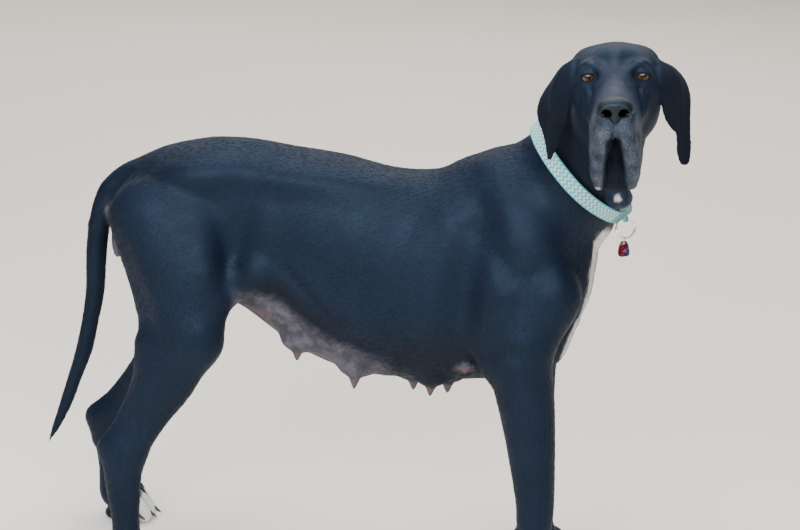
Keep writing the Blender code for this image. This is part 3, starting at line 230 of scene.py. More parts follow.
def contour(ax, D):
    """The surface D = 0 of a grid as quads: one point in each cell that it crosses."""
    D = unpinched(D)
    S = D < 0
    c = [slice(0, -1), slice(1, None)]
    n = sum(S[c[i], c[j], c[k]].astype(np.int8) for i in (0, 1) for j in (0, 1) for k in (0, 1))
    cells = np.argwhere((n > 0) & (n < 8))
    index = np.full(n.shape, -1, np.int64)
    index[tuple(cells.T)] = np.arange(len(cells))
    acc, cnt = np.zeros((len(cells), 3)), np.zeros(len(cells))
    corners = [np.array([i, j, k]) for i in (0, 1) for j in (0, 1) for k in (0, 1)]
    for a in corners:
        for b in corners:
            if (b - a).sum() != 1 or (b - a).min() < 0:
                continue
            da, db = D[tuple((cells + a).T)], D[tuple((cells + b).T)]
            m = (da < 0) != (db < 0)
            t = (da[m] / (da[m] - db[m]))[:, None]
            acc[m] += a + t * (b - a)
            cnt[m] += 1
    pos = cells + acc / cnt[:, None]
    verts = np.stack([ax[i][0] + pos[:, i] * (ax[i][1] - ax[i][0]) for i in range(3)], 1)
    quads = []
    for axis in range(3):
        u, v = (axis + 1) % 3, (axis + 2) % 3
        lo = [slice(None)] * 3
        hi = [slice(None)] * 3
        lo[axis], hi[axis] = slice(0, -1), slice(1, None)
        A, B = S[tuple(lo)], S[tuple(hi)]
        for flip, M in ((False, A & ~B), (True, ~A & B)):
            e = np.argwhere(M)
            e = e[(e[:, u] > 0) & (e[:, v] > 0) & (e[:, u] < S.shape[u] - 1) & (e[:, v] < S.shape[v] - 1)]
            q = []
            for du, dv in ((-1, -1), (0, -1), (0, 0), (-1, 0)):
                w = e.copy()
                w[:, u] += du
                w[:, v] += dv
                q.append(index[tuple(w.T)])
            q = np.stack(q, 1)
            quads.append(q[:, ::-1] if flip else q)
    return verts, np.vstack(quads)
# ---------------------------------------------------------------- the dog's measures (metres)
# +X is the dog's forward, -Y its right side, the floor is z = 0. SHIFT is the middle of the whole
# model's outline on the floor, which becomes the part's origin.
SHIFT = np.array([0.0304, -0.0927, 0.0])
NEAR, FAR = -1, 1            # the dog's right and left sides
LEG_Y = 0.105                # a foreleg's distance from the middle

# the trunk: x, back, underside, half width, lean
TRUNK = [(-0.385, 0.680, 0.620, 0.028, 0.00),
         (-0.360, 0.710, 0.570, 0.051, 0.05),
         (-0.310, 0.746, 0.510, 0.075, 0.08),
         (-0.235, 0.767, 0.498, 0.086, 0.06),
         (-0.160, 0.772, 0.479, 0.086, 0.02),
         (-0.080, 0.763, 0.427, 0.090, 0.00),
         (0.000, 0.754, 0.3905, 0.101, -0.02),
         (0.080, 0.738, 0.3795, 0.110, 0.00),
         (0.160, 0.742, 0.383, 0.113, 0.08),
         (0.200, 0.757, 0.384, 0.110, 0.12),
         (0.240, 0.765, 0.389, 0.105, 0.16),
         (0.310, 0.758, 0.400, 0.087, 0.18),
         (0.370, 0.730, 0.435, 0.069, 0.10),
         (0.412, 0.672, 0.500, 0.046, 0.00)]

# the neck's middle and half width, from the chest to the back of the skull
NECK = [(0.275, 0.000, 0.620), (0.332, -0.002, 0.682), (0.384, -0.014, 0.738),
        (0.416, -0.042, 0.790), (0.436, -0.082, 0.850), (0.446, -0.118, 0.900)]
NECK_R = [0.100, 0.092, 0.082, 0.072, 0.066, 0.058]

# the head's own axes: F forward along the muzzle, L to the dog's left, U up, from a point between the eyes
EYES_AT = np.array([0.4585, -0.200, 0.9525])
HEAD_YAW, HEAD_NOD, HEAD_ROLL = 4.0, 0.0, 4.4
def head_axes():
    a = math.radians(HEAD_YAW)
    F = np.array([math.sin(a), -math.cos(a), 0.0])
    L = np.cross((0, 0, 1.0), F)
    R = rot(F, HEAD_ROLL) @ rot(L, HEAD_NOD) @ np.stack([F, L, (0, 0, 1.0)], 1)
    return R
HEAD = head_axes()
def in_head(p):
    return HEAD @ np.asarray(p, float) + EYES_AT

# the skull and muzzle in those axes: forward, top, bottom, half width, lean
SKULL = [(-0.146, 0.004, -0.030, 0.030, 0.00),
         (-0.130, 0.022, -0.050, 0.048, 0.00),
         (-0.100, 0.036, -0.070, 0.062, 0.00),
         (-0.060, 0.040, -0.080, 0.0665, 0.00),
         (-0.026, 0.036, -0.085, 0.0600, 0.00),
         (0.000, 0.018, -0.086, 0.0500, 0.06),
         (0.020, 0.005, -0.086, 0.0400, 0.20),
         (0.045, 0.000, -0.086, 0.0350, 0.28),
         (0.080, -0.003, -0.080, 0.0335, 0.26),
         (0.110, -0.005, -0.070, 0.0325, 0.20),
         (0.130, -0.009, -0.060, 0.0295, 0.10),
         (0.141, -0.016, -0.050, 0.0230, 0.00)]
EYE_Y, EYE_X, EYE_Z, EYE_R = 0.0405, -0.0125, -0.0015, 0.0125
CHIN = (0.088, 0.0040, -0.1650)
EAR_LENGTH = 0.165

# the legs: the middle of each joint, right then left
HIP = {NEAR: (-0.285, -0.080, 0.640), FAR: (-0.295, 0.080, 0.640)}
KNEE = {NEAR: (-0.226, -0.110, 0.438), FAR: (-0.270, 0.110, 0.395)}
HOCK = {NEAR: (-0.344, -0.112, 0.222), FAR: (-0.450, 0.122, 0.183)}
HIND_FOOT = {NEAR: (-0.318, -0.112), FAR: (-0.424, 0.124)}
FORE_FOOT = {NEAR: (0.392, -0.105), FAR: (0.368, 0.105)}
# ---------------------------------------------------------------- the body's forms
def limb_y(side, y):
    return side * y

def trunk_forms(B):
    B.add(hull_x(TRUNK, 2.25), 0.01)
    B.add(ellipsoid((-0.300, 0, 0.640), (0.080, 0.084, 0.080)), 0.03)          # pelvis
    for s in (NEAR, FAR):
        B.add(ellipsoid((-0.352, s * 0.044, 0.630), (0.026, 0.028, 0.045)), 0.025)     # point of the buttock
        B.add(ellipsoid((-0.225, s * 0.064, 0.718), (0.060, 0.026, 0.024), rot((0, 1, 0), -8)), 0.045)   # hip bone
        B.add(ellipsoid((-0.060, s * 0.037, 0.720), (0.150, 0.034, 0.020), rot((0, 1, 0), 4)), 0.035)    # loin muscle
        # shoulder blade, its muscle and the point of the shoulder
        B.add(tube([(0.262, s * 0.040, 0.752), (0.312, s * 0.078, 0.672), (0.360, s * 0.094, 0.592)],
                   [0.022, 0.046, 0.044], (0, 1, 0), 0.72), 0.03)
        B.add(ellipsoid((0.376, s * 0.088, 0.568), (0.040, 0.036, 0.046)), 0.03)
        # upper arm and the muscle behind it
        B.add(tube([(0.372, s * 0.094, 0.560), (0.349, s * 0.104, 0.510), (0.327, s * 0.106, 0.455)],
                   [0.044, 0.048, 0.044], (0, 1, 0), 0.80), 0.03)
        B.add(ellipsoid((0.300, s * 0.104, 0.540), (0.058, 0.030, 0.095), rot((0, 1, 0), 14)), 0.03)
    B.add(ellipsoid((0.398, 0, 0.585), (0.034, 0.050, 0.062)), 0.04)           # breastbone
    B.add(ellipsoid((0.335, 0, 0.475), (0.066, 0.050, 0.070)), 0.03)
    return B

def neck_forms(B):
    B.add(tube(NECK, NECK_R, (-0.70, 0, 0.70), [1.28, 1.20, 1.11, 1.09, 1.08, 1.05]), 0.05)
    # the crest from the withers to the skull, and the loose skin under the throat
    B.add(tube([(0.235, 0, 0.725), (0.295, 0, 0.748), (0.345, -0.012, 0.790), (0.400, -0.045, 0.860), (0.430, -0.085, 0.915)],
               [0.036, 0.036, 0.036, 0.038, 0.038]), 0.03)
    B.add(tube([(0.426, -0.008, 0.680), (0.432, -0.060, 0.745), (0.443, -0.120, 0.800), (0.460, -0.170, 0.835)],
               [0.030, 0.029, 0.033, 0.028]), 0.03)
    return B

def foreleg(B, s):
    fx, fy = FORE_FOOT[s]
    dx = fx - FORE_FOOT[NEAR][0]
    y = abs(fy)
    B.add(tube([(0.328, s * y, 0.475), (0.335 + dx * .5, s * y, 0.430), (0.3465 + dx * .9, s * y, 0.370), (0.3575 + dx, s * y, 0.295),
                (0.366 + dx, s * y, 0.220), (0.368 + dx, s * y, 0.180), (0.370 + dx, s * y, 0.150), (0.376 + dx, s * y, 0.110), (0.384 + dx, s * y, 0.070)],
               [0.050, 0.0515, 0.0470, 0.0403, 0.0343, 0.0322, 0.0288, 0.0260, 0.027], (0, 1, 0),
               [0.80, 0.82, 0.81, 0.81, 0.84, 0.92, 0.89, 0.91, 1.0]), 0.02)
    B.add(ellipsoid((0.292, s * (y + 0.002), 0.452), (0.024, 0.019, 0.030)), 0.025)     # elbow
    B.add(ellipsoid((0.341 + dx, s * y, 0.152), (0.010, 0.010, 0.012)), 0.012)        # carpal pad
    return B

def hindleg(B, s):
    H, K, A = (np.array(d[s]) for d in (HIP, KNEE, HOCK))
    fx, fy = HIND_FOOT[s]
    y = abs(K[1])
    Y = np.array((0, 1, 0))
    # thigh: front muscle, hamstrings and the inner bulk
    mid = (H + K) / 2
    fore = 0.020 if s == NEAR else 0.002                                         # the left thigh is swung further back
    slack = np.array((0.0 if s == NEAR else -0.016, 0, 0))                          # and its knee is less filled out in front
    B.add(tube([H + (fore, 0, -0.02), mid + (fore, 0.004 * s, 0.0), K + slack + (0.004, 0, 0.012)], [0.075, 0.066 if s == NEAR else 0.060, 0.050], Y, 0.58), 0.03)
    B.add(tube([H + (-0.030, 0.0, 0.000), mid + (-0.016, 0.004 * s, -0.005), K + (-0.042, -0.004 * s, -0.020)], [0.060, 0.062, 0.038], Y, 0.58), 0.03)
    B.add(ellipsoid(K + slack + (0.018, 0, 0.010), (0.026, 0.024, 0.034)), 0.02)
    # the fold of skin from the flank to the knee
    web = [(-0.128, s * 0.084, 0.556), (-0.168, s * 0.094, 0.518), K + (0.024, 0, 0.034)] if s == NEAR else [(-0.140, s * 0.084, 0.562), (-0.196, s * 0.094, 0.536), K + (0.008, 0, 0.060)]
    B.add(tube(web, [0.030, 0.020, 0.018], Y, 0.6), 0.03)
    # lower leg: shin, calf and the tendon to the point of the hock
    w = A - K
    B.add(tube([K + slack + (0, 0, 0.01), K + slack * 0.5 + w * 0.30, K + w * 0.62, A + (0.008, 0, 0.01)], [0.052, 0.048, 0.037, 0.031], Y, 0.66), 0.03)
    heel = A + (-0.030, 0, 0.014)
    B.add(tube([K + (-0.064, 0, -0.012), K + w * 0.34 + (-0.026, 0, 0.000), K + w * 0.66 + (-0.030, 0, 0.000), heel], [0.032, 0.034, 0.019, 0.013], Y, 0.62), 0.025)
    B.add(ellipsoid(heel + (0.002, 0, 0), (0.016, 0.013, 0.020)), 0.014)
    # the hock and what is below it
    foot = np.array((fx - 0.020, s * abs(fy), 0.062))
    B.add(tube([A + (0.004, 0, 0.012), A + (0.000, 0, -0.020), A * (1, 1, 0) * .72 + foot * (1, 1, 0) * .28 + (0, 0, 0.145),
                A * (1, 1, 0) * .3 + foot * (1, 1, 0) * .7 + (0, 0, 0.100), foot],
               [0.036, 0.036, 0.030, 0.025, 0.026], Y, [0.70, 0.68, 0.72, 0.85, 1.0]), 0.02)
    return B

TOES = [(-0.0330, 0.030), (-0.0120, 0.047), (0.0120, 0.047), (0.0330, 0.030)]      # across, reach
def toe_line(i, x, y, size=1.0, turn=0.0):
    across, reach = TOES[i]
    R = rot((0, 0, 1), turn)
    pts = [(-0.018, across * 0.45, 0.052), (reach * 0.35, across * 0.88, 0.054), (reach * 0.80, across, 0.036), (reach + 0.006, across, 0.0165)]
    return [R @ (np.array(p) * size) + (x, y, 0) for p in pts]

def paw(B, x, y, size=1.0, turn=0.0):
    P = Flesh()
    for i in range(4):
        P.add(tube(toe_line(i, x, y, size, turn), [0.0175 * size, 0.0165 * size, 0.0150 * size, 0.0135 * size]), 0.004)
        tip = toe_line(i, x, y, size, turn)[3]
        P.add(ellipsoid((tip[0] - 0.006 * size, tip[1], 0.0072), (0.0145 * size, 0.0105 * size, 0.0105)), 0.003)      # toe pad
    P.add(ellipsoid((x - 0.012 * size, y, 0.0090), (0.026 * size, 0.0260 * size, 0.0135)), 0.006)                # main pad
    P.add(ellipsoid((x - 0.008 * size, y, 0.045 * size), (0.034 * size, 0.031 * size, 0.026 * size)), 0.014)
    B.ops.append((joined(P), 0.012, 1))
    return B

def joined(F):
    lo = np.min([f[1] for f, _, s in F.ops if s > 0], 0)
    hi = np.max([f[2] for f, _, s in F.ops if s > 0], 0)
    return (lambda P: F.at(P.reshape(-1, 3)).reshape(P.shape[:-1])), lo, hi

TAIL = [(-0.325, 0, 0.706), (-0.365, 0, 0.692), (-0.394, 0, 0.668), (-0.411, 0, 0.635), (-0.4210, 0, 0.600), (-0.4265, 0, 0.550), (-0.430, 0, 0.479),
        (-0.4395, 0, 0.425), (-0.451, 0, 0.372), (-0.469, 0, 0.318), (-0.488, 0, 0.263), (-0.506, 0, 0.220), (-0.517, 0, 0.197)]
TAIL_R = [0.026, 0.024, 0.0220, 0.0205, 0.0190, 0.0185, 0.0170, 0.0155, 0.0150, 0.0135, 0.0115, 0.0080, 0.0035]
def tail_forms(B):
    B.add(tube(TAIL[:5], TAIL_R[:5]), 0.008)
    for s in (-1, 1):                        # the crease between the tail's root and the rump
        B.cut(tube([(-0.350, s * 0.031, 0.706), (-0.368, s * 0.031, 0.688), (-0.388, s * 0.027, 0.655), (-0.396, s * 0.023, 0.620)], [0.0015, 0.0035, 0.0045, 0.0030]), 0.010)
    B.add(tube(TAIL[4:], TAIL_R[4:]), 0.004)
    return B

# teats along the belly: side, x, distance from the middle, length
TEATS = [(NEAR, -0.112, 0.066, 0.007), (NEAR, -0.055, 0.048, 0.026), (NEAR, 0.045, 0.048, 0.032), (NEAR, 0.175, 0.046, 0.028), (NEAR, 0.238, 0.084, 0.006),
         (FAR, -0.110, 0.052, 0.010), (FAR, -0.045, 0.045, 0.016), (FAR, 0.060, 0.045, 0.018), (FAR, 0.137, 0.006, 0.029), (FAR, 0.196, 0.006, 0.031)]
def belly_at(x, y):
    fine = spline(TRUNK, 10)
    fine = fine[np.argsort(fine[:, 0])]
    top, bot, w, lean = (np.interp(x, fine[:, 0], fine[:, j]) for j in (1, 2, 3, 4))
    zc, h = (top + bot) / 2, (top - bot) / 2
    return zc - h * (1 - min(abs(y / (w * (1 + lean))), 0.98) ** 2.25) ** (1 / 2.25)

def udder(B):
    for s, x, y, n in TEATS:
        z = belly_at(x, s * y)
        m = 1.0 if n > 0.012 else 0.5
        B.add(ellipsoid((x, s * y, z + 0.010 * m), (0.030 * m, 0.024 * m, 0.014 * m + n * 0.35)), 0.02 * m)
        tip = z - n
        B.add(tube([(x, s * y, tip + 0.020), (x, s * (y + 0.001), tip + 0.010), (x, s * (y + 0.002), tip)], [0.0120, 0.0085, 0.0048]), 0.006)
    return B

def rear_fold(B):
    return B.add(tube([(-0.366, 0, 0.640), (-0.380, 0, 0.600), (-0.387, 0, 0.570), (-0.388, 0, 0.551)], [0.019, 0.0180, 0.0135, 0.0085], (0, 1, 0), 0.8), 0.010)

def nose_forms():
    """The leather at the end of the muzzle, in the head's axes."""
    N = Flesh()
    N.add(ellipsoid((0.1365, 0, -0.0165), (0.0160, 0.0225, 0.0120)), 0.004)
    for s in (-1, 1):
        N.add(ellipsoid((0.1345, s * 0.0150, -0.0240), (0.0165, 0.0125, 0.0120)), 0.006)      # wings
    N.add(ellipsoid((0.1385, 0, -0.0315), (0.0120, 0.0085, 0.0130)), 0.008)
    for s in (-1, 1):
        N.cut(ellipsoid((0.1510, s * 0.0132, -0.0268), (0.0190, 0.0068, 0.0062), rot((0, 0, 1), s * 22)), 0.0020)    # nostrils
        N.cut(tube([(0.1470, s * 0.0165, -0.0290), (0.1350, s * 0.0300, -0.0340)], [0.0024, 0.0024]), 0.0025)         # slits
    return N

def head_forms(B):
    H = Flesh()
    H.add(hull_x(SKULL, 2.15), 0.006)
    for s in (-1, 1):
        H.add(tube([(-0.100, s * 0.052, -0.014), (-0.062, s * 0.0610, -0.020), (-0.024, s * 0.0540, -0.026)], [0.014, 0.0130, 0.0100]), 0.02)   # cheekbone
        H.add(ellipsoid((-0.056, s * 0.0420, -0.058), (0.042, 0.0250, 0.041), rot((0, 1, 0), 20)), 0.02)       # jaw muscle
        H.add(ellipsoid((-0.084, s * 0.040, 0.006), (0.042, 0.025, 0.022)), 0.015)                             # temple
        H.add(tube([(-0.004, s * 0.0200, 0.0120), (-0.010, s * 0.0330, 0.0155), (-0.022, s * 0.0470, 0.0110)], [0.0045, 0.0060, 0.0055]), 0.016)    # brow
        H.add(tube([(0.006, s * 0.0300, -0.016), (-0.002, s * 0.0430, -0.0170), (-0.016, s * 0.0530, -0.0100)], [0.0040, 0.0050, 0.0040]), 0.012)   # under the eye
        # the lips hang as two curtains
        H.add(ellipsoid((0.064, s * 0.0275, -0.094), (0.058, 0.0125, 0.046), rot((0, 1, 0), -6)), 0.014)
        w = 0.0012 * (1 + s)                                  # the left one hangs a little nearer the middle
        H.add(tube([(0.132, s * 0.0115, -0.046), (0.130, s * 0.0185, -0.072), (0.123, s * 0.0245 - w, -0.096), (0.112, s * 0.0262 - w, -0.121), (0.100, s * 0.0240 - w, -0.140)],
                   [0.0145, 0.0140, 0.0125, 0.0120, 0.0100]), 0.008)
    # lower jaw, its lip and the throat
    H.add(tube([(-0.060, 0, -0.080), (0.000, 0, -0.112), (0.046, 0, -0.136), (0.074, 0, -0.146)], [0.034, 0.026, 0.0205, 0.0170], (0, 1, 0), [1.2, 1.15, 1.1, 1.1]), 0.02)
    H.add(ellipsoid((-0.045, 0, -0.085), (0.055, 0.036, 0.040)), 0.03)
    H.add(ellipsoid((0.070, 0, -0.090), (0.036, 0.024, 0.040)), 0.010)
    H.add(tube([(0.072, 0, -0.122), (0.090, 0, -0.112), (0.0960, 0, -0.132), (0.0880, 0, -0.150)], [0.012, 0.0085, 0.0100, 0.0130], (0, 1, 0), [1.5, 1.9, 1.7, 1.3]), 0.007)
    H.add(ellipsoid(CHIN, (0.0190, 0.0208, 0.0178)), 0.006)
    # the furrow of the forehead and the hollows beside it, the split of the upper lip
    H.cut(tube([(-0.075, 0, 0.0455), (-0.035, 0, 0.0430), (-0.008, 0, 0.0310)], [0.002, 0.004, 0.003]), 0.010)
    H.cut(tube([(0.151, 0, -0.044), (0.147, 0, -0.058), (0.138, 0, -0.070)], [0.0010, 0.0030, 0.0050]), 0.004)
    for s in (-1, 1):
        H.cut(ellipsoid((-0.005, s * 0.0190, 0.0275), (0.0140, 0.0100, 0.0065), rot((1, 0, 0), s * 35)), 0.020)
        H.cut(tube([(0.012, s * 0.0345, -0.018), (0.030, s * 0.0410, -0.050), (0.045, s * 0.0440, -0.085), (0.052, s * 0.0440, -0.110)], [0.0015, 0.0030, 0.0040, 0.0030]), 0.010)   # crease between cheek and lip
        H.cut(ellipsoid((0.004, s * 0.0415, 0.0000), (0.0125, 0.0150, 0.0090)), 0.008)       # eye socket
        H.add(ellipsoid((EYE_X, s * EYE_Y, EYE_Z), (EYE_R + 0.0018,) * 3), 0.006)
        H.cut(ellipsoid((0.0045, s * (EYE_Y + 0.0008), EYE_Z - 0.0004), (0.0180, 0.0103, 0.0057), rot((1, 0, 0), -s * 8)), 0.0015)        # between the lids
    B.ops.append((placed(joined(H), HEAD, EYES_AT), 0.022, 1))
    return B

# Each ear by rows from its root to its tip: height, then forward and out of its front edge, its fold and its rear edge
EARS = {-1: [(0.012, -0.052, 0.052, -0.058, 0.063, -0.080, 0.058),
             (0.002, -0.038, 0.062, -0.046, 0.080, -0.080, 0.081),
             (-0.018, -0.030, 0.068, -0.036, 0.092, -0.070, 0.098),
             (-0.042, -0.032, 0.072, -0.032, 0.0970, -0.064, 0.1140),
             (-0.068, -0.038, 0.075, -0.033, 0.0965, -0.062, 0.1190),
             (-0.092, -0.043, 0.083, -0.038, 0.0995, -0.058, 0.1120),
             (-0.114, -0.047, 0.091, -0.044, 0.1025, -0.052, 0.1070),
             (-0.135, -0.050, 0.1010, -0.0495, 0.1030, -0.051, 0.1050)],
        1: [(0.006, -0.052, 0.054, -0.060, 0.066, -0.084, 0.062),
            (0.000, -0.036, 0.064, -0.050, 0.082, -0.086, 0.084),
            (-0.016, -0.028, 0.070, -0.042, 0.093, -0.080, 0.1020),
            (-0.040, -0.032, 0.0710, -0.042, 0.096, -0.074, 0.1110),
            (-0.066, -0.038, 0.0750, -0.044, 0.097, -0.066, 0.1110),
            (-0.088, -0.044, 0.0860, -0.050, 0.101, -0.060, 0.1105),
            (-0.096, -0.048, 0.0930, -0.052, 0.102, -0.060, 0.1105),
            (-0.120, -0.050, 0.0935, -0.054, 0.103, -0.058, 0.1120),
            (-0.138, -0.052, 0.0955, -0.055, 0.104, -0.057, 0.1120),
            (-0.149, -0.053, 0.1010, -0.055, 0.105, -0.057, 0.1085)]}
EAR_STEP = {-1: 0.012, 1: 0.005}          # how far the part behind the fold steps back
def ear_grid(s, n=27, m=11):
    """One ear: rows from its root to its tip, columns from its front edge over its fold to its rear edge, in the head's axes."""
    c = spline(EARS[s], 6)
    t = np.linspace(0, len(c) - 1, n)
    c = np.stack([np.interp(t, np.arange(len(c)), c[:, j]) for j in range(7)], 1)
    g = np.zeros((n, m, 3))
    for i, (z, xf, yf, xm, ym, xr, yr) in enumerate(c):
        for j in range(m):
            a = 2 * j / (m - 1) - 1
            x, y = np.interp(a, (-1, 0, 1), (xf, xm, xr)), np.interp(a, (-1, 0, 1), (yf, ym, yr))
            x -= EAR_STEP[s] * min(max(a / 0.25, 0), 1) * math.sin(math.pi * i / (n - 1))
            g[i, j] = (x, s * y, z - 0.006 * a * a * (1 - i / (n - 1)))
    return g

def ear_forms(B, sides=(-1, 1)):
    for s in sides:
        g = ear_grid(s)
        w = np.array([in_head(p) for p in g.reshape(-1, 3)]).reshape(g.shape)
        B.add(sheet(w, np.interp(np.linspace(0, 1, g.shape[0] - 1), [0, 0.2, 1], [0.0060, 0.0034, 0.0028])), 0.006)
    return B

def whole_dog(ears=True):
    B = Flesh()
    trunk_forms(B)
    udder(B)
    neck_forms(B)
    for s in (NEAR, FAR):
        foreleg(B, s)
        paw(B, FORE_FOOT[s][0], FORE_FOOT[s][1], 1.0, -s * 4)
        hindleg(B, s)
        paw(B, HIND_FOOT[s][0], HIND_FOOT[s][1], 0.93, -s * 3)
    rear_fold(B)
    tail_forms(B)
    head_forms(B)
    if ears:
        ear_forms(B)
    return B

# ---------------------------------------------------------------- the collar
COLLAR_AT = np.array([0.4078, -0.0240, 0.7612])
COLLAR_AXIS = unit((0.68, -0.06, 0.72))
COLLAR_WIDTH, COLLAR_THICK, COLLAR_EASE = 0.0255, 0.0024, 0.0043
def collar_path(field, n=44):
    """Around the neck: the points where rays from the collar's middle leave the flesh, and the way out at each."""
    up = unit(np.cross(COLLAR_AXIS, (0, 1.0, 0)))
    up = up if up[2] > 0 else -up
    out = unit(np.cross(COLLAR_AXIS, up))
    rows = []
    r = np.arange(0.040, 0.150, 0.0005)
    for k in range(n):
        a = 2 * math.pi * k / n
        d = up * math.cos(a) + out * math.sin(a)
        best = 0
        for off in (-0.52, -0.26, 0.0, 0.26, 0.52):
            P = COLLAR_AT + COLLAR_AXIS * off * COLLAR_WIDTH + d * r[:, None]
            D = field.at(P)
            best = max(best, r[np.argmax(D > 0)])
        rows.append(best)
    R = np.array(rows)
    for _ in range(6):                      # a stiff band bridges the hollows
        R = np.maximum(R, (np.roll(R, 1) + np.roll(R, -1)) / 2)
    R = (np.roll(R, 1) + 2 * R + np.roll(R, -1)) / 4 + COLLAR_EASE
    dirs = np.array([up * math.cos(2 * math.pi * k / n) + out * math.sin(2 * math.pi * k / n) for k in range(n)])
    return COLLAR_AT + dirs * R[:, None], dirs
# ---------------------------------------------------------------- meshes from arrays
def tri_mesh(name, V, F):
    me = bpy.data.meshes.new(name)
    F = np.asarray(F, np.int32)
    k = F.shape[1]
    me.vertices.add(len(V))
    me.vertices.foreach_set("co", np.ascontiguousarray(V, np.float32).ravel())
    me.loops.add(F.size)
    me.polygons.add(len(F))
    me.polygons.foreach_set("loop_start", np.arange(0, F.size, k, dtype=np.int32))
    me.polygons.foreach_set("vertices", F.ravel())
    me.update(calc_edges=True)
    return me

def link(name, me, smooth=True):
    me.name = name
    if smooth:
        me.shade_smooth()
    o = bpy.data.objects.new(name, me)
    bpy.context.scene.collection.objects.link(o)
    return o

def co_of(me):
    a = np.empty(len(me.vertices) * 3, np.float32)
    me.vertices.foreach_get("co", a)
    return a.reshape(-1, 3).astype(float)

def normals_of(me):
    a = np.empty(len(me.vertices) * 3, np.float32)
    me.vertex_normals.foreach_get("vector", a)
    return a.reshape(-1, 3).astype(float)

def faces_of(me):
    a = np.empty(len(me.loops), np.int32)
    me.loops.foreach_get("vertex_index", a)
    return a.reshape(-1, 3)

def ramp(x, a, b):
    t = np.clip((np.asarray(x, float) - a) / (b - a), 0, 1)
    return t * t * (3 - 2 * t)

def bump(x, at, width):
    return np.exp(-((x - at) / width) ** 2)

def to_head(P):
    return (P - EYES_AT) @ HEAD

def line_distance(P, pts, steps=5):
    """Distance to a smooth curve through pts, and how far along it, 0 to 1."""
    c = spline(pts, steps)[:, :3]
    best, along = np.full(len(P), 1e3), np.zeros(len(P))
    for i in range(len(c) - 1):
        w = c[i + 1] - c[i]
        L2 = w @ w + 1e-12
        t = np.clip(((P - c[i]) @ w) / L2, 0, 1)
        d = np.linalg.norm(P - c[i] - t[:, None] * w, axis=1)
        m = d < best
        best[m] = d[m]
        along[m] = (i + t[m]) / (len(c) - 1)
    return best, along

# ---------------------------------------------------------------- folds and wrinkles
# each: points in the head's axes, width, depth (below 0 a ridge); a crease has a low lip on either side
def mirrored(lines):
    return [([(x, s * y, z) for x, y, z in p], w, d) for p, w, d in lines for s in (-1, 1)]
FACE_FOLDS = mirrored([
    ([(-0.016, 0.0200, 0.0100), (0.000, 0.0240, -0.0080), (0.020, 0.0300, -0.0260), (0.034, 0.0330, -0.050)], 0.0032, 0.0012),   # from the inner corner of the eye down the cheek
    ([(-0.004, 0.0470, -0.0160), (0.008, 0.0450, -0.0360), (0.016, 0.0430, -0.0600)], 0.0036, 0.0013),                         # under the eye
    ([(-0.022, 0.0300, 0.0260), (-0.010, 0.0400, 0.0200), (-0.016, 0.0500, 0.0130)], 0.0030, 0.0008),                          # above the upper lid
    ([(-0.028, 0.0100, 0.0330), (-0.020, 0.0180, 0.0300), (-0.020, 0.0260, 0.0300)], 0.0050, 0.0003),                          # brow hollow
    ([(0.050, 0.0300, -0.0200), (0.076, 0.0320, -0.0360), (0.090, 0.0330, -0.0600)], 0.0036, 0.0010),                          # along the muzzle
    ([(0.112, 0.0260, -0.0260), (0.108, 0.0310, -0.0460)], 0.0026, 0.0009),
    ([(0.120, 0.0235, -0.0500), (0.118, 0.0300, -0.0700), (0.110, 0.0340, -0.0960)], 0.0028, 0.0009),
    ([(0.128, 0.0180, -0.0560), (0.128, 0.0220, -0.0800), (0.120, 0.0280, -0.1100)], 0.0026, 0.0008),
]) + [
    ([(0.100, -0.0070, -0.098), (0.108, -0.0085, -0.122), (0.104, -0.0070, -0.146)], 0.0030, 0.0026),                           # the lower lip's furrows
    ([(0.100, 0.0060, -0.098), (0.108, 0.0080, -0.122), (0.104, 0.0075, -0.146)], 0.0030, 0.0026),
    ([(0.104, -0.0160, -0.142), (0.108, 0.0, -0.146), (0.104, 0.0160, -0.142)], 0.0028, 0.0024),
    ([(0.112, -0.016, 0.0000), (0.114, 0.0, 0.0008), (0.112, 0.016, 0.0000)], 0.0022, 0.0009),                                 # across the bridge, behind the nose
    ([(0.104, -0.018, 0.0005), (0.106, 0.0, 0.0016), (0.104, 0.018, 0.0005)], 0.0022, 0.0007),
    ([(0.095, -0.018, 0.0008), (0.097, 0.0, 0.0020), (0.095, 0.018, 0.0008)], 0.0022, 0.0006),
]
# the same on the body, seen from the side (x and z), one on each side
BODY_FOLDS = [([(0.236, 0.735), (0.262, 0.690), (0.300, 0.625), (0.345, 0.590)], 0.022, 0.0042),       # before the shoulder blade
              ([(0.246, 0.700), (0.238, 0.640), (0.236, 0.560), (0.252, 0.480)], 0.026, 0.0080),       # behind the shoulder
              ([(0.270, 0.470), (0.310, 0.485), (0.352, 0.470)], 0.012, 0.0030),                       # above the elbow
              ([(0.330, 0.640), (0.318, 0.600), (0.300, 0.560)], 0.016, -0.0025),                      # ridge of the blade
              ([(-0.130, 0.690), (-0.150, 0.620), (-0.150, 0.560), (-0.170, 0.520)], 0.022, 0.0055),   # before the thigh
              ([(-0.345, 0.620), (-0.325, 0.560), (-0.300, 0.500), (-0.290, 0.440)], 0.016, 0.0030),   # between the muscles of the thigh
              ([(0.180, 0.452), (0.100, 0.446), (0.020, 0.470), (-0.060, 0.515), (-0.110, 0.548)], 0.016, 0.0030),
              ([(-0.085, 0.590), (-0.045, 0.552), (-0.005, 0.515), (0.045, 0.480)], 0.010, 0.0035),      # where the belly joins the ribs
              ([(0.190, 0.690), (0.170, 0.620), (0.150, 0.540)], 0.012, 0.0010), ([(0.150, 0.690), (0.128, 0.620), (0.108, 0.540)], 0.012, 0.0011),
              ([(0.110, 0.690), (0.086, 0.620), (0.066, 0.550)], 0.012, 0.0011), ([(0.070, 0.690), (0.044, 0.620), (0.026, 0.555)], 0.012, 0.0010)]
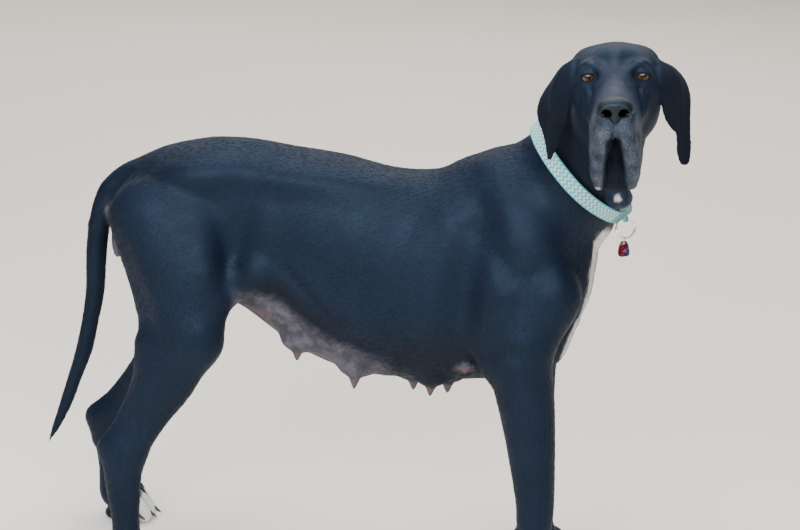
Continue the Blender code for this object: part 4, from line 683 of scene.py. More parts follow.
def fold(P, line, width, depth):
    d, along = line_distance(P, line)
    end = np.clip(np.minimum(along, 1 - along) / 0.18, 0, 1)
    end = np.where(d < 4 * width, end, 0)
    return end * depth * (-np.exp(-(d / width) ** 2) + 0.45 * np.exp(-((d - 2.1 * width) / (1.1 * width)) ** 2))

def grain(P, scale, seed=0.0):
    """Smooth noise, about -1 to 1, one blob every 1/scale metres."""
    return np.array([noise.noise(p) for p in (P * scale + seed).tolist()])

def relief(P, N):
    """How far the skin stands above (or below) its plain form at each point."""
    out = np.zeros(len(P))
    H = to_head(P)
    face = (H[:, 0] > -0.13) & (H[:, 0] < 0.18) & (abs(H[:, 1]) < 0.075) & (abs(H[:, 2] + 0.07) < 0.13)
    F = H[face]
    add = np.zeros(len(F))
    for p, w, d in FACE_FOLDS:
        add += fold(F, p, w, d)
    # coarse skin of the lips, fine over the rest of the face
    lips = ramp(F[:, 0], 0.04, 0.09) * ramp(-F[:, 2], 0.03, 0.06)
    add += grain(F, 190.0) * 0.00030 * lips + grain(F, 80.0, 9.1) * 0.0006 * lips
    out[face] += add
    B = ~face
    Q = P[B]
    out[B] += grain(Q, 16.0, 3.3) * 0.0010 + grain(Q, 45.0, 5.7) * 0.00020
    flank = B & (abs(P[:, 1]) > 0.05) & (P[:, 2] > 0.40) & (P[:, 0] < 0.40) & (abs(N[:, 1]) > 0.35)
    Q = P[flank] * (1, 0, 1)
    add = np.zeros(len(Q))
    for p, w, d in BODY_FOLDS:
        add += fold(Q, [(x, 0, z) for x, z in p], w, d)
    out[flank] += add * ramp(abs(N[flank, 1]), 0.35, 0.7) * ramp(abs(P[flank, 1]), 0.05, 0.07)
    return out

# ---------------------------------------------------------------- the skin
def near_fill(field, ax, block=4):
    """The field on a fine grid, worked out only near its surface; elsewhere the coarse value stands in."""
    c = [a[::block] for a in ax]
    coarse = field.fill(c, np.full([len(a) for a in c], 0.2, np.float32))
    active = abs(coarse) < 1.15 * block * SKIN_GRID
    for axis in range(3):
        back = np.roll(active, -1, axis)
        last = [slice(None)] * 3
        last[axis] = -1
        back[tuple(last)] = False
        active = active | back
    D, M = coarse, active
    for axis in range(3):
        D, M = np.repeat(D, block, axis), np.repeat(M, block, axis)
    n = tuple(slice(0, len(a)) for a in ax)
    D, M = np.ascontiguousarray(D[n]), M[n]
    i, j, k = np.nonzero(M)
    P = np.stack([ax[0][i], ax[1][j], ax[2][k]], 1)
    D[i, j, k] = field.at(P).astype(np.float32)
    return D

def skin_mesh():
    dog = whole_dog()
    lo = np.min([f[1] for f, _, s in dog.ops if s > 0], 0) - 0.008
    hi = np.max([f[2] for f, _, s in dog.ops if s > 0], 0) + 0.008
    lo[2] = -0.006
    ax = [np.arange(lo[i], hi[i] + SKIN_GRID, SKIN_GRID) for i in range(3)]
    D = near_fill(dog, ax)
    D += np.float32(COAT_DEPTH)
    # the coat is thinnest on the head and the feet
    z = ax[2]
    k = np.searchsorted(z, 0.13)
    D[:, :, :k] -= ((COAT_DEPTH - FACE_DEPTH) * (1 - ramp(z[:k], 0.06, 0.13))).astype(np.float32)[None, None, :]
    s = tuple(slice(*np.searchsorted(ax[i], (a, b))) for i, (a, b) in enumerate(((0.30, 0.60), (-0.40, -0.02), (0.72, 1.02))))
    X = np.stack(np.meshgrid(*[ax[i][s[i]] for i in range(3)], indexing="ij"), -1)
    r = np.linalg.norm((X - in_head((-0.01, 0, -0.05))) / (1.0, 1.15, 1.0), axis=-1)
    D[s] -= ((COAT_DEPTH - FACE_DEPTH) * (1 - ramp(r, 0.135, 0.175))).astype(np.float32)
    D = np.maximum(D, (0.0004 - z).astype(np.float32)[None, None, :])
    V, Q = contour(ax, D)
    return dog, V, Q

def skin_depth(P):
    d = COAT_DEPTH - (COAT_DEPTH - FACE_DEPTH) * (1 - ramp(P[:, 2], 0.06, 0.13))
    r = np.linalg.norm((P - in_head((-0.01, 0, -0.05))) / (1.0, 1.15, 1.0), axis=-1)
    return d - (COAT_DEPTH - FACE_DEPTH) * (1 - ramp(r, 0.135, 0.175))

def onto(dog, P, rounds=2, most=0.002):
    """Moves points onto the skin's level of the field."""
    e = 0.0004
    for _ in range(rounds):
        D = dog.at(P) + skin_depth(P)
        G = np.stack([dog.at(P + e * np.eye(3)[i]) - dog.at(P - e * np.eye(3)[i]) for i in range(3)], 1) / (2 * e)
        g = np.linalg.norm(G, axis=1) + 1e-6
        P = P - G / g[:, None] * np.clip(D / np.maximum(g, 0.5), -most, most)[:, None]
    return P

def make_skin():
    dog, V, Q = skin_mesh()
    me = tri_mesh("skin", V, Q)
    # the face gets finer faces
    C = V[Q].mean(1)
    H = to_head(C)
    fine = (H[:, 0] > -0.045) & (abs(H[:, 1]) < 0.066) & (H[:, 2] < 0.045) & (H[:, 2] > -0.185) & ((H[:, 0] > -0.02) | (H[:, 2] > -0.04))
    bm = bmesh.new()
    bm.from_mesh(me)
    bm.faces.ensure_lookup_table()
    edges = {e for i in np.flatnonzero(fine) for e in bm.faces[i].edges}
    bmesh.ops.subdivide_edges(bm, edges=list(edges), cuts=1, use_grid_fill=True)
    bmesh.ops.triangulate(bm, faces=bm.faces)
    bm.to_mesh(me)
    bm.free()
    P = co_of(me)
    H = to_head(P)
    near = (H[:, 0] > -0.06) & (abs(H[:, 1]) < 0.08) & (H[:, 2] < 0.06) & (H[:, 2] > -0.20)
    P[near] = onto(dog, P[near])
    me.vertices.foreach_set("co", P.astype(np.float32).ravel())
    me.update()
    N = normals_of(me)
    P = P + N * relief(P, N)[:, None]
    P[:, 2] = np.maximum(P[:, 2], 0.0002)
    # behind the nostrils the skin steps back out of sight
    H = to_head(P)
    for s in (-1, 1):
        q = (H - (0.1510, s * 0.0132, -0.0268)) @ rot((0, 0, 1), s * 22)
        deep = (np.linalg.norm(q / (0.0250, 0.0085, 0.0080), axis=1) < 1.0) & (H[:, 0] > 0.124)
        P[deep] -= HEAD[:, 0] * (H[deep, 0] - 0.124)[:, None]
    me.vertices.foreach_set("co", P.astype(np.float32).ravel())
    me.update()
    dense_P, dense_N = P, normals_of(me)
    o = link("skin", me)
    H = to_head(P)
    keep = (1 - ramp(abs(H[:, 1]), 0.05, 0.07)) * ramp(H[:, 0], -0.03, 0.0) * (1 - ramp(H[:, 2], 0.03, 0.05))
    g = o.vertex_groups.new(name="thin")
    soft = 1 - 0.85 * keep
    for w in np.unique(np.round(soft, 2)):
        g.add(np.flatnonzero(np.abs(np.round(soft, 2) - w) < 1e-6).tolist(), float(w), "REPLACE")
    n = len(me.polygons)
    m = o.modifiers.new("thin", "DECIMATE")
    m.ratio, m.vertex_group, m.vertex_group_factor = min(1.0, SKIN_TRIANGLES / n), "thin", 1.0
    bpy.context.view_layer.update()
    out = bpy.data.meshes.new_from_object(o.evaluated_get(bpy.context.evaluated_depsgraph_get()))
    o.modifiers.clear()
    o.vertex_groups.clear()
    o.data = out
    tree = KDTree(len(dense_P))
    for i, p in enumerate(dense_P.tolist()):
        tree.insert(p, i)
    tree.balance()
    P = co_of(out)
    N = np.zeros_like(P)
    for i, p in enumerate(P.tolist()):
        for _, k, d in tree.find_n(p, 3):
            N[i] += dense_N[k] / (d + 1e-4)
    N /= np.linalg.norm(N, axis=1)[:, None] + 1e-9
    return dog, o, P, N
# ---------------------------------------------------------------- markings, the same for skin and coat
STRIPE = [(0.430, -0.034, 0.722), (0.440, -0.026, 0.650), (0.440, -0.024, 0.580), (0.425, -0.022, 0.515), (0.395, -0.014, 0.455)]
def ragged(P, amount, scale=220.0, seed=0.0):
    return grain(P, scale, seed) * amount

def marks(P, N):
    """white, bare, grey and brown: how much of each colour a point has, 0 to 1; the brown also carries painted shade,
    the depth of the shade in hollows.
    """
    H = to_head(P)
    edge = ragged(P, 0.0035, 150.0)
    d, along = line_distance(P, STRIPE)
    half = 0.017 + 0.006 * np.minimum(along * 3, 1) - 0.012 * along
    white = ramp(half + edge - d, -0.0025, 0.0025) * (P[:, 0] > 0.36)
    # the chin's spot, a fleck under the right lip
    chin = np.linalg.norm((H - (0.106, 0.003, -0.163)) / (1.6, 0.9, 1.35), axis=1)
    white = np.maximum(white, 0.55 * ramp(0.0040 + edge * 1.5 - chin, -0.0045, 0.0030))
    fleck = np.linalg.norm((H - (0.106, -0.0270, -0.146)) / (1.0, 1.0, 0.8), axis=1)
    white = np.maximum(white, 0.4 * ramp(0.0038 + edge * 0.5 - fleck, -0.0020, 0.0015))
    # the toes of the left hind foot
    fx, fy = HIND_FOOT[FAR]
    toes = ramp(P[:, 0] - (fx + 0.018) + edge * 2, -0.003, 0.004) * (abs(P[:, 1] - fy) < 0.07) * (P[:, 2] < 0.05) * (P[:, 0] < -0.20)
    white = np.maximum(white, toes)
    # the belly: bare skin between the flanks, from the groin to behind the elbows
    x, y, z = P[:, 0], abs(P[:, 1]), P[:, 2]
    line = np.interp(x, [-0.26, -0.20, -0.15, -0.115, -0.08, -0.05, 0.00, 0.05, 0.125, 0.225, 0.28, 0.32], [0.500, 0.520, 0.532, 0.532, 0.515, 0.496, 0.463, 0.443, 0.428, 0.438, 0.445, 0.425])
    low = ramp(line + edge * 1.6 - z, -0.012, 0.020)
    inside = ramp(-N[:, 2], -0.50, -0.08) * ramp(x, -0.30, -0.24) * (1 - ramp(x + edge * 3, 0.075, 0.125)) * (1 - ramp(y - np.interp(x, [-0.21, -0.165, -0.12], [-0.034, -0.026, 0.0]), 0.112, 0.128))
    bare = low * inside * 0.8
    for s, tx, ty, n in TEATS:
        d = np.linalg.norm((P - (tx, s * ty, belly_at(tx, s * ty) - n)) / (1.0, 1.0, 1.25), axis=1)
        bare = np.maximum(bare, (low > 0.2) * (0.8 + 0.2 * (1 - ramp(d, 0.009, 0.022))) * (1 - ramp(d, 0.013, 0.022)))
    rear = (1 - ramp(x, -0.372, -0.356)) * (x > -0.4035) * ramp(z, 0.536, 0.548) * (1 - ramp(z, 0.640, 0.660)) * (1 - ramp(y, 0.020, 0.034))
    bare = np.maximum(bare, rear * 0.72)
    # grey hairs: the lips, round the nose, the chin, a little over the eyes; on the bridge the grey is also a painted
    # highlight
    grey = ramp(H[:, 0], 0.055, 0.105) * ramp(-H[:, 2], -0.002, 0.045) * (abs(H[:, 1]) < 0.06)
    grey = np.maximum(grey, 0.45 * ramp(H[:, 0], 0.09, 0.125) * (abs(H[:, 1]) < 0.05))
    # the inner faces of the lips lose their grey: the dark left there is partly the lips' own black, partly painted
    # shade in the cleft
    inner = ramp(0.014 + 0.10 * (-0.075 - H[:, 2]) - abs(H[:, 1]) - 0.0045 * (H[:, 1] > 0), -0.003, 0.004) * (H[:, 2] < -0.066)
    # the bridge of the muzzle: grey hairs, laid on brighter as a painted highlight
    grey = np.maximum(grey * (1 - 0.85 * inner), 0.50 * ramp(H[:, 0], -0.01, 0.05) * (1 - ramp(abs(H[:, 1]), 0.024, 0.036)) * (H[:, 2] > -0.06))
    grey = grey * (H[:, 0] > 0) * (H[:, 2] > -0.2) * (0.55 + 0.45 * grain(P, 60.0, 2.0))
    grey = np.clip(grey, 0, 1)
    # rusty tint where the coat is thin or sunburnt, and painted shade in hollows and on surfaces facing down: the backs
    # of the thighs, the flank fold, behind the elbow
    brown_and_shade = 0.8 * (1 - ramp(x, -0.40, -0.30)) * ramp(z, 0.30, 0.42) * (1 - ramp(z, 0.64, 0.72)) * (y > 0.02)
    brown_and_shade = np.maximum(brown_and_shade, 0.9 * ramp(0.045 - np.maximum(line - 0.0 - z, z - line), -0.04, 0.03) * ramp(-N[:, 2], -0.5, 0.2) * (x > -0.27) * (x < 0.30) * (y < 0.13))
    brown_and_shade = np.maximum(brown_and_shade, 0.5 * ramp(0.07 - np.linalg.norm(P - np.array((0.26, 0, 0.45)) * 1.0, axis=1) + y, -0.02, 0.05) * (z < 0.50) * (z > 0.38) * (x < 0.33) * (x > 0.2))
    brown_and_shade = np.clip(brown_and_shade * (0.65 + 0.5 * grain(P, 14.0, 7.7)), 0, 1)
    return np.stack([white, bare, grey, brown_and_shade], 1)

def matt_and_shade(P):
    """How matte a point is, and how much painted shade darkens its colour: the inside of the lips, the ears, under the
    throat.
    """
    H = to_head(P)
    on_head = (np.linalg.norm(H - (0.02, 0, -0.06), axis=1) < 0.19) & (P[:, 2] > 0.78)
    # painted shade on the ears, the inside of the lips and under the throat; the same value also makes them matte
    d = 0.75 * on_head * ramp(abs(H[:, 1]), 0.062, 0.070)
    lips = ramp(0.0135 + 0.09 * (-0.075 - H[:, 2]) - abs(H[:, 1]) - 0.0045 * (H[:, 1] > 0), -0.003, 0.003) * (H[:, 2] < -0.068) * ramp(H[:, 2], -0.156, -0.142) * (H[:, 0] > 0.03)
    throat = 0.6 * ramp(0.10 - np.linalg.norm((P - (0.452, -0.115, 0.800)) / (1, 1, 1.3), axis=1), 0.0, 0.05)
    return np.clip(np.maximum(np.maximum(d, on_head * lips), throat), 0, 1)

def paint(me, per_vertex, matt_shade):
    a = me.attributes.new("matt_and_shade", "FLOAT", "POINT")
    a.data.foreach_set("value", np.ascontiguousarray(matt_shade, np.float32))
    paint_marks(me, per_vertex)

def paint_marks(me, per_vertex):
    """Stores the markings on a mesh as a colour attribute: red white, green bare, blue grey, alpha brown with its
    painted shade.
    """
    a = me.attributes.new("marks", "FLOAT_COLOR", "POINT")
    a.data.foreach_set("color", np.ascontiguousarray(per_vertex, np.float32).ravel())

# ---------------------------------------------------------------- the lie of the coat
# where, which way the hair runs there
def flow_points():
    F = [((0.30, 0, 0.78), (-0.8, 0, 0.25)), ((0.20, 0, 0.74), (-1, 0, 0)), ((0.0, 0, 0.75), (-1, 0, 0)), ((-0.2, 0, 0.77), (-1, 0, -0.05)),
         ((-0.33, 0, 0.72), (-1, 0, -0.5)), ((0.42, 0, 0.60), (0.1, 0, -1)), ((0.40, 0, 0.50), (-0.2, 0, -1)), ((0.20, 0, 0.38), (-1, 0, 0)), ((-0.05, 0, 0.42), (-1, 0, 0.2)),
         ((-0.38, 0, 0.60), (-0.1, 0, -1)),
         ((0.38, 0, 0.86), (-0.5, 0.3, -0.7)), ((0.41, -0.03, 0.80), (-0.55, 0.30, -0.75)), ((0.36, 0.0, 0.72), (-0.6, 0.1, -0.75)), ((0.44, -0.06, 0.74), (-0.1, 0.4, -1)), ((0.45, -0.12, 0.82), (0, 0.5, -0.8))]
    for s in (NEAR, FAR):
        F += [((0.30, s * .10, 0.70), (-0.8, 0, -0.6)), ((0.36, s * .12, 0.60), (-0.35, 0, -1)), ((0.33, s * .13, 0.50), (-0.25, 0, -1)), ((0.20, s * .12, 0.62), (-1, 0, -0.35)),
              ((0.08, s * .12, 0.55), (-1, 0, -0.40)), ((0.08, s * .11, 0.42), (-1, 0, -0.15)), ((-0.08, s * .10, 0.58), (-1, 0, -0.30)), ((-0.18, s * .09, 0.50), (-0.7, 0, 0.6)),
              ((-0.22, s * .10, 0.70), (-1, 0, -0.45)), ((-0.30, s * .12, 0.60), (-0.5, 0, -1)), ((-0.22, s * .13, 0.48), (0.10, 0, -1)), ((-0.33, s * .12, 0.48), (-0.25, 0, -1)),
              ((0.35, s * .11, 0.35), (-0.15, 0, -1)), ((0.37, s * .11, 0.15), (-0.05, 0, -1)), ((0.40, s * .11, 0.05), (1, 0, -0.6))]
        K, A = np.array(KNEE[s]), np.array(HOCK[s])
        F += [(tuple(K), tuple((A - K) * 2 + (0, 0, -.3))), (tuple((A + K) / 2), tuple((A - K) * 3)), (tuple(A), (0, 0, -1)), ((HIND_FOOT[s][0] - .02, HIND_FOOT[s][1], 0.10), (0.1, 0, -1)), ((HIND_FOOT[s][0] + .02, HIND_FOOT[s][1], 0.04), (1, 0, -0.6))]
    for i in range(2, len(TAIL) - 1, 2):
        F.append((TAIL[i], tuple(np.array(TAIL[i + 1]) - TAIL[i - 1])))
    def head(p, d):
        F.append((tuple(in_head(p)), tuple(HEAD @ np.array(d, float))))
    head((0.135, 0, 0), (-1, 0, 0.2)); head((0.08, 0, 0.0), (-1, 0, 0.1)); head((0.02, 0, 0.01), (-1, 0, 0.5)); head((-0.03, 0, 0.035), (-1, 0, 0.1)); head((-0.10, 0, 0.035), (-1, 0, -0.3))
    for s in (-1, 1):
        head((0.12, s * .03, -0.05), (-0.5, 0, -1)); head((0.08, s * .035, -0.10), (-0.3, 0, -1)); head((0.03, s * .045, -0.06), (-1, 0, -0.5)); head((-0.03, s * .055, -0.03), (-1, 0, -0.3))
        head((-0.03, s * .05, -0.09), (-1, 0, -0.4)); head((-0.01, s * .045, 0.02), (-0.8, s * .4, 0.5))
        for y, z in ((.08, 0), (.11, -.04), (.112, -.09), (.105, -.14)):
            head((-0.07, s * y, z), (0, 0.15 * s if y < .1 else 0, -1))
    P = np.array([p for p, _ in F], float)
    D = np.array([unit(d) for _, d in F])
    return P, D
FLOW_P, FLOW_D = flow_points()
def flow(P, N):
    """The way the hair lies at each point, along the skin."""
    out = np.zeros_like(P)
    for i in range(0, len(P), 20000):
        d2 = ((P[i:i + 20000, None, :] - FLOW_P[None]) ** 2).sum(-1) + 1e-5
        w = 1 / d2 ** 1.8
        out[i:i + 20000] = w @ FLOW_D
    out -= (out * N).sum(1)[:, None] * N
    return out / (np.linalg.norm(out, axis=1)[:, None] + 1e-9)
# ---------------------------------------------------------------- tufts
def skin_uv(o):
    """An unwrap of the skin's own shape, named OFBake."""
    o.data.uv_layers.new(name="OFBake")
    bpy.context.view_layer.objects.active = o
    for x in bpy.context.selected_objects:
        x.select_set(False)
    o.select_set(True)
    bpy.ops.object.mode_set(mode="EDIT")
    bpy.ops.mesh.select_all(action="SELECT")
    bpy.ops.uv.smart_project(angle_limit=1.15, island_margin=0.0015, scale_to_bounds=True)
    bpy.ops.object.mode_set(mode="OBJECT")
    a = np.empty(len(o.data.loops) * 2, np.float32)
    o.data.uv_layers["OFBake"].data.foreach_get("uv", a)
    return a.reshape(-1, 3, 2).astype(float)

def tuft_rule(P, N, F):
    """How many tufts there are to a square centimetre, and each one's length, width and lift of its tip."""
    H = to_head(P)
    x, y, z = P[:, 0], abs(P[:, 1]), P[:, 2]
    n = len(P)
    many = np.full(n, 4.3)
    long = np.full(n, 0.0105)
    wide = np.full(n, 0.0009)
    lift = np.full(n, 0.00055)
    on_head = (np.linalg.norm(H - (0.02, 0, -0.06), axis=1) < 0.19) & (z > 0.78)
    face = on_head & (H[:, 0] > -0.06) & (abs(H[:, 1]) < 0.062)
    ear = on_head & (abs(H[:, 1]) > 0.062)
    feet = z < 0.085
    legs = (z < 0.36) & (x > 0.30) | (z < 0.36) & (x < -0.16)
    tail = (x < -0.405) & (z > 0.18) & (y < 0.035)
    for m, a, b, c, d in ((legs & ~tail, 6.0, 0.0085, 0.0011, 0.0007), (feet, 8.0, 0.0055, 0.0009, 0.0004), (on_head, 7.0, 0.0070, 0.0010, 0.0005),
                          (ear, 9.0, 0.0060, 0.0010, 0.0004), (face, 12.0, 0.0040, 0.0008, 0.0003), (tail, 9.0, 0.0150, 0.0014, 0.0013)):
        many[m], long[m], wide[m], lift[m] = a, b, c, d
    # longer and looser: the backs of the thighs, under the tail, down the breastbone and the backs of the forelegs
    back = (1 - ramp(x, -0.40, -0.33)) * ramp(z, 0.36, 0.42) * (z < 0.68) * ~tail
    chest = ramp(x, 0.36, 0.40) * ramp(z, 0.40, 0.44) * (1 - ramp(z, 0.62, 0.70)) * (1 - ramp(y, 0.05, 0.08))
    loose = np.maximum(back, chest)
    many += 6 * loose
    long += 0.003 * loose
    lift += 0.0009 * loose
    return many, long, wide, lift

def make_tufts(skin, P, N, uv):
    F = faces_of(skin.data)
    A, B, C = P[F[:, 0]], P[F[:, 1]], P[F[:, 2]]
    area = np.linalg.norm(np.cross(B - A, C - A), axis=1) / 2
    mid = (A + B + C) / 3
    fn = N[F].mean(1)
    many, *_ = tuft_rule(mid, fn, F)
    m = marks(mid, fn)
    H = to_head(mid)
    none = (m[:, 1] > 0.6)
    under = (mid[:, 2] < 0.0015)
    mouth = (H[:, 0] > 0.02) & (abs(H[:, 1]) < 0.020) & (H[:, 2] < -0.085) & (H[:, 2] > -0.155)
    eyes = np.zeros(len(mid), bool)
    for s in (-1, 1):
        eyes |= np.linalg.norm(H - (EYE_X, s * EYE_Y, EYE_Z), axis=1) < EYE_R + 0.0045
    leather = np.linalg.norm(H - (0.140, 0, -0.020), axis=1) < 0.020
    many = many * ~(none | under | eyes | leather | mouth)
    want = many * area * 1e4
    n = np.floor(want + RNG.random(len(want))).astype(int)
    f = np.repeat(np.arange(len(F)), n)
    u, v = RNG.random(len(f)), RNG.random(len(f))
    flip = u + v > 1
    u[flip], v[flip] = 1 - u[flip], 1 - v[flip]
    w = np.stack([1 - u - v, u, v], 1)
    root = (P[F[f]] * w[:, :, None]).sum(1)
    nor = (N[F[f]] * w[:, :, None]).sum(1)
    nor /= np.linalg.norm(nor, axis=1)[:, None]
    ruv = (uv[f] * w[:, :, None]).sum(1)
    _, long, wide, lift = tuft_rule(root, nor, None)
    k = len(root)
    long, wide, lift = long * RNG.uniform(0.75, 1.2, k), wide * RNG.uniform(0.8, 1.25, k), lift * RNG.uniform(0.6, 1.5, k)
    along = flow(root, nor)
    side = np.cross(nor, along)
    swing = RNG.normal(0, 0.10, k)[:, None]
    along, side = along * np.cos(swing) + side * np.sin(swing), side * np.cos(swing) - along * np.sin(swing)
    # a flat blade: a three-sided root under the skin, a three-sided middle, a tip; the tip keeps close to a curved skin
    L, W, T = long[:, None], wide[:, None], (wide * 0.24)[:, None]
    base = root - nor * 0.0005
    mid_ = root + along * L * 0.45 + nor * (lift * 0.45)[:, None]
    tip = root + along * L + nor * lift[:, None]
    V = np.stack([base - side * W * 0.5, base + side * W * 0.5, base + nor * T,
                  mid_ - side * W * 0.42, mid_ + side * W * 0.42, mid_ + nor * T, tip], 1)
    return dict(V=V, root=root, nor=nor, along=along, side=side, uv=ruv, long=long, lift=lift)

TUFT_FACES = np.array([(0, 2, 1), (0, 1, 4), (0, 4, 3), (1, 2, 5), (1, 5, 4), (2, 0, 3), (2, 3, 5), (3, 4, 6), (4, 5, 6), (5, 3, 6)])
def hug(T, tree):
    """Brings each blade's middle and tip back to just above the skin."""
    V, lift = T["V"], T["lift"]
    for j, h in ((6, 1.0), (5, 0.45)):
        pts = V[:, j].tolist()
        for i, p in enumerate(pts):
            q, n, k, d = tree.find_nearest(p)
            gap = (Vector(p) - q).dot(n)
            move = n * (lift[i] * h + (0.0003 if j == 5 else 0) - gap)
            if move.length < 0.006:
                V[i, j] += move
                if j == 5:
                    V[i, 3] += move
                    V[i, 4] += move
    return T

def tuft_piece(name, T, pick, mat):
    V = T["V"][pick]
    k = len(V)
    F = (TUFT_FACES[None] + 7 * np.arange(k)[:, None, None]).reshape(-1, 3)
    me = tri_mesh(name, V.reshape(-1, 3) - SHIFT, F)
    uv = me.uv_layers.new(name="OFBake")
    # each tuft's patch is 0.003 across, at its root's place on the skin's unwrap
    local = np.array([(-1, -1), (1, -1), (0, -1), (-0.8, 0), (0.8, 0), (0, 0), (0, 1)]) * 0.0015
    per = (T["uv"][pick][:, None, :] + local[None]).clip(0.0005, 0.9995)
    uv.data.foreach_set("uv", per.reshape(-1, 2)[F.ravel()].astype(np.float32).ravel())
    paint(me, np.repeat(marks(T["root"][pick], T["nor"][pick]), 7, axis=0), np.repeat(matt_and_shade(T["root"][pick]), 7))
    shade = me.attributes.new("hair", "FLOAT", "POINT")
    shade.data.foreach_set("value", np.repeat(RNG.random(k), 7).astype(np.float32))
    me.materials.append(mat)
    me.shade_smooth()
    n = T["nor"][pick][:, None, :] * 1.0 + T["side"][pick][:, None, :] * (np.array([-.25, .25, 0, -.25, .25, 0, 0])[None, :, None]) + T["along"][pick][:, None, :] * 0.06
    n = n / np.linalg.norm(n, axis=-1)[..., None]
    me.normals_split_custom_set_from_vertices(n.reshape(-1, 3).tolist())
    o = link(name, me)
    return o
# ---------------------------------------------------------------- materials
class Nodes:
    """A short way to lay out a material's nodes."""
    def __init__(self, name, **fixed):
        self.m = bpy.data.materials.new(name)
        self.m.use_nodes = True
        self.t = self.m.node_tree
        self.b = self.t.nodes["Principled BSDF"]
        for k, v in fixed.items():
            self.b.inputs[k.replace("_", " ")].default_value = v
    def node(self, kind, **props):
        n = self.t.nodes.new(kind)
        for k, v in props.items():
            setattr(n, k, v)
        return n
    def wire(self, a, b):
        self.t.links.new(a, b)
        return self
    def coords(self):
        return self.node("ShaderNodeTexCoord").outputs["Object"]
    def attribute(self, name, out="Color"):
        return self.node("ShaderNodeAttribute", attribute_name=name).outputs[out]
    def split(self, colour):
        n = self.node("ShaderNodeSeparateColor")
        self.wire(colour, n.inputs[0])
        return n.outputs
    def scaled(self, vector, by):
        n = self.node("ShaderNodeVectorMath", operation="MULTIPLY")
        self.wire(vector, n.inputs[0])
        n.inputs[1].default_value = by
        return n.outputs[0]
    def noise(self, vector, scale, detail=3.0, rough=0.5):
        n = self.node("ShaderNodeTexNoise")
        self.wire(vector, n.inputs["Vector"])
        n.inputs["Scale"].default_value, n.inputs["Detail"].default_value, n.inputs["Roughness"].default_value = scale, detail, rough
        return n.outputs["Fac"]
    def voronoi(self, vector, scale, feature="F1"):
        n = self.node("ShaderNodeTexVoronoi", feature=feature)
        self.wire(vector, n.inputs["Vector"])
        n.inputs["Scale"].default_value = scale
        return n.outputs["Distance"]
    def math(self, op, a, b=None, clamp=False):
        n = self.node("ShaderNodeMath", operation=op, use_clamp=clamp)
        for s, v in zip(n.inputs, (a, b)):
            if v is None:
                continue
            if isinstance(v, (int, float)):
                s.default_value = v
            else:
                self.wire(v, s)
        return n.outputs[0]
    def curve(self, value, stops):
        n = self.node("ShaderNodeValToRGB")
        self.wire(value, n.inputs[0])
        r = n.color_ramp
        while len(r.elements) < len(stops):
            r.elements.new(0.5)
        for e, (at, c) in zip(r.elements, stops):
            e.position = at
            e.color = (*c, 1) if len(c) == 3 else c
        return n.outputs[0]
    def mix(self, fac, a, b):
        n = self.node("ShaderNodeMix", data_type="RGBA")
        for s, v in ((n.inputs[0], fac), (n.inputs[6], a), (n.inputs[7], b)):
            if isinstance(v, (int, float)):
                s.default_value = v
            elif isinstance(v, tuple):
                s.default_value = (*v, 1)
            else:
                self.wire(v, s)
        return n.outputs[2]
    def span(self, value, lo, hi, a=0.0, b=1.0):
        n = self.node("ShaderNodeMapRange")
        self.wire(value, n.inputs[0])
        for i, v in enumerate((lo, hi, a, b)):
            n.inputs[1 + i].default_value = v
        return n.outputs[0]
    def bump(self, height, strength, distance, under=None):
        n = self.node("ShaderNodeBump")
        n.inputs["Strength"].default_value, n.inputs["Distance"].default_value = strength, distance
        self.wire(height, n.inputs["Height"])
        if under is not None:
            self.wire(under, n.inputs["Normal"])
        return n.outputs[0]
    def set(self, **sockets):
        for k, v in sockets.items():
            self.wire(v, self.b.inputs[k.replace("_", " ")])
        return self.m

BLACK = (0.0030, 0.0052, 0.0125)
BROWN_AND_SHADE = (0.0068, 0.0046, 0.0042)
GREY = (0.1500, 0.1600, 0.1800)
WHITE = (0.6200, 0.6000, 0.5800)
BELLY = (0.0440, 0.0400, 0.0490)
TEAT = (0.1050, 0.0600, 0.0640)

def coat_colour(n, hair):
    """Black with the markings laid over it; hair is a value that differs from hair to hair."""
    P = n.coords()
    a = n.node("ShaderNodeAttribute", attribute_name="marks")
    r, g, b = n.split(a.outputs["Color"])[:3]
    al = a.outputs["Alpha"]
    base = n.mix(n.span(n.noise(P, 9.0), 0.35, 0.65), BLACK, (0.0042, 0.0075, 0.0175))
    # the brown tint, partly painted shade in hollows and on the underside
    base = n.mix(n.math("MULTIPLY", al, n.span(hair, 0.0, 1.0, 0.35, 1.0)), base, BROWN_AND_SHADE)
    # the bare belly: mottled brown, grey and pink
    mott = n.curve(n.noise(P, 38.0, 4.0, 0.6), [(0.26, (0.028, 0.025, 0.031)), (0.44, BELLY), (0.62, (0.088, 0.078, 0.090)), (0.80, (0.046, 0.039, 0.044))])
    mott = n.mix(n.span(g, 0.80, 0.98), mott, TEAT)
    base = n.mix(n.span(g, 0.0, 0.78), base, mott)
    # grey hairs stand singly among the black
    base = n.mix(n.span(b, 0.05, 0.8, 0.0, 0.85), base, (0.0340, 0.0400, 0.0540))
    speck = n.math("LESS_THAN", hair, n.math("MULTIPLY", b, 0.55))
    base = n.mix(n.math("MULTIPLY", speck, n.span(b, 0.0, 0.5, 0.15, 0.50)), base, GREY)
    # painted shade: the inside of the lips, the ears and under the throat are darkened towards near black
    base = n.mix(n.math("MULTIPLY", n.attribute("matt_and_shade", "Fac"), 0.80), base, n.mix(n.span(n.noise(P, 55.0), 0.3, 0.7), (0.0020, 0.0022, 0.0036), (0.0050, 0.0038, 0.0042)))
    base = n.mix(r, base, n.mix(n.span(hair, 0.0, 1.0), WHITE, (0.74, 0.72, 0.70)))
    return P, base, (r, g, b, al)

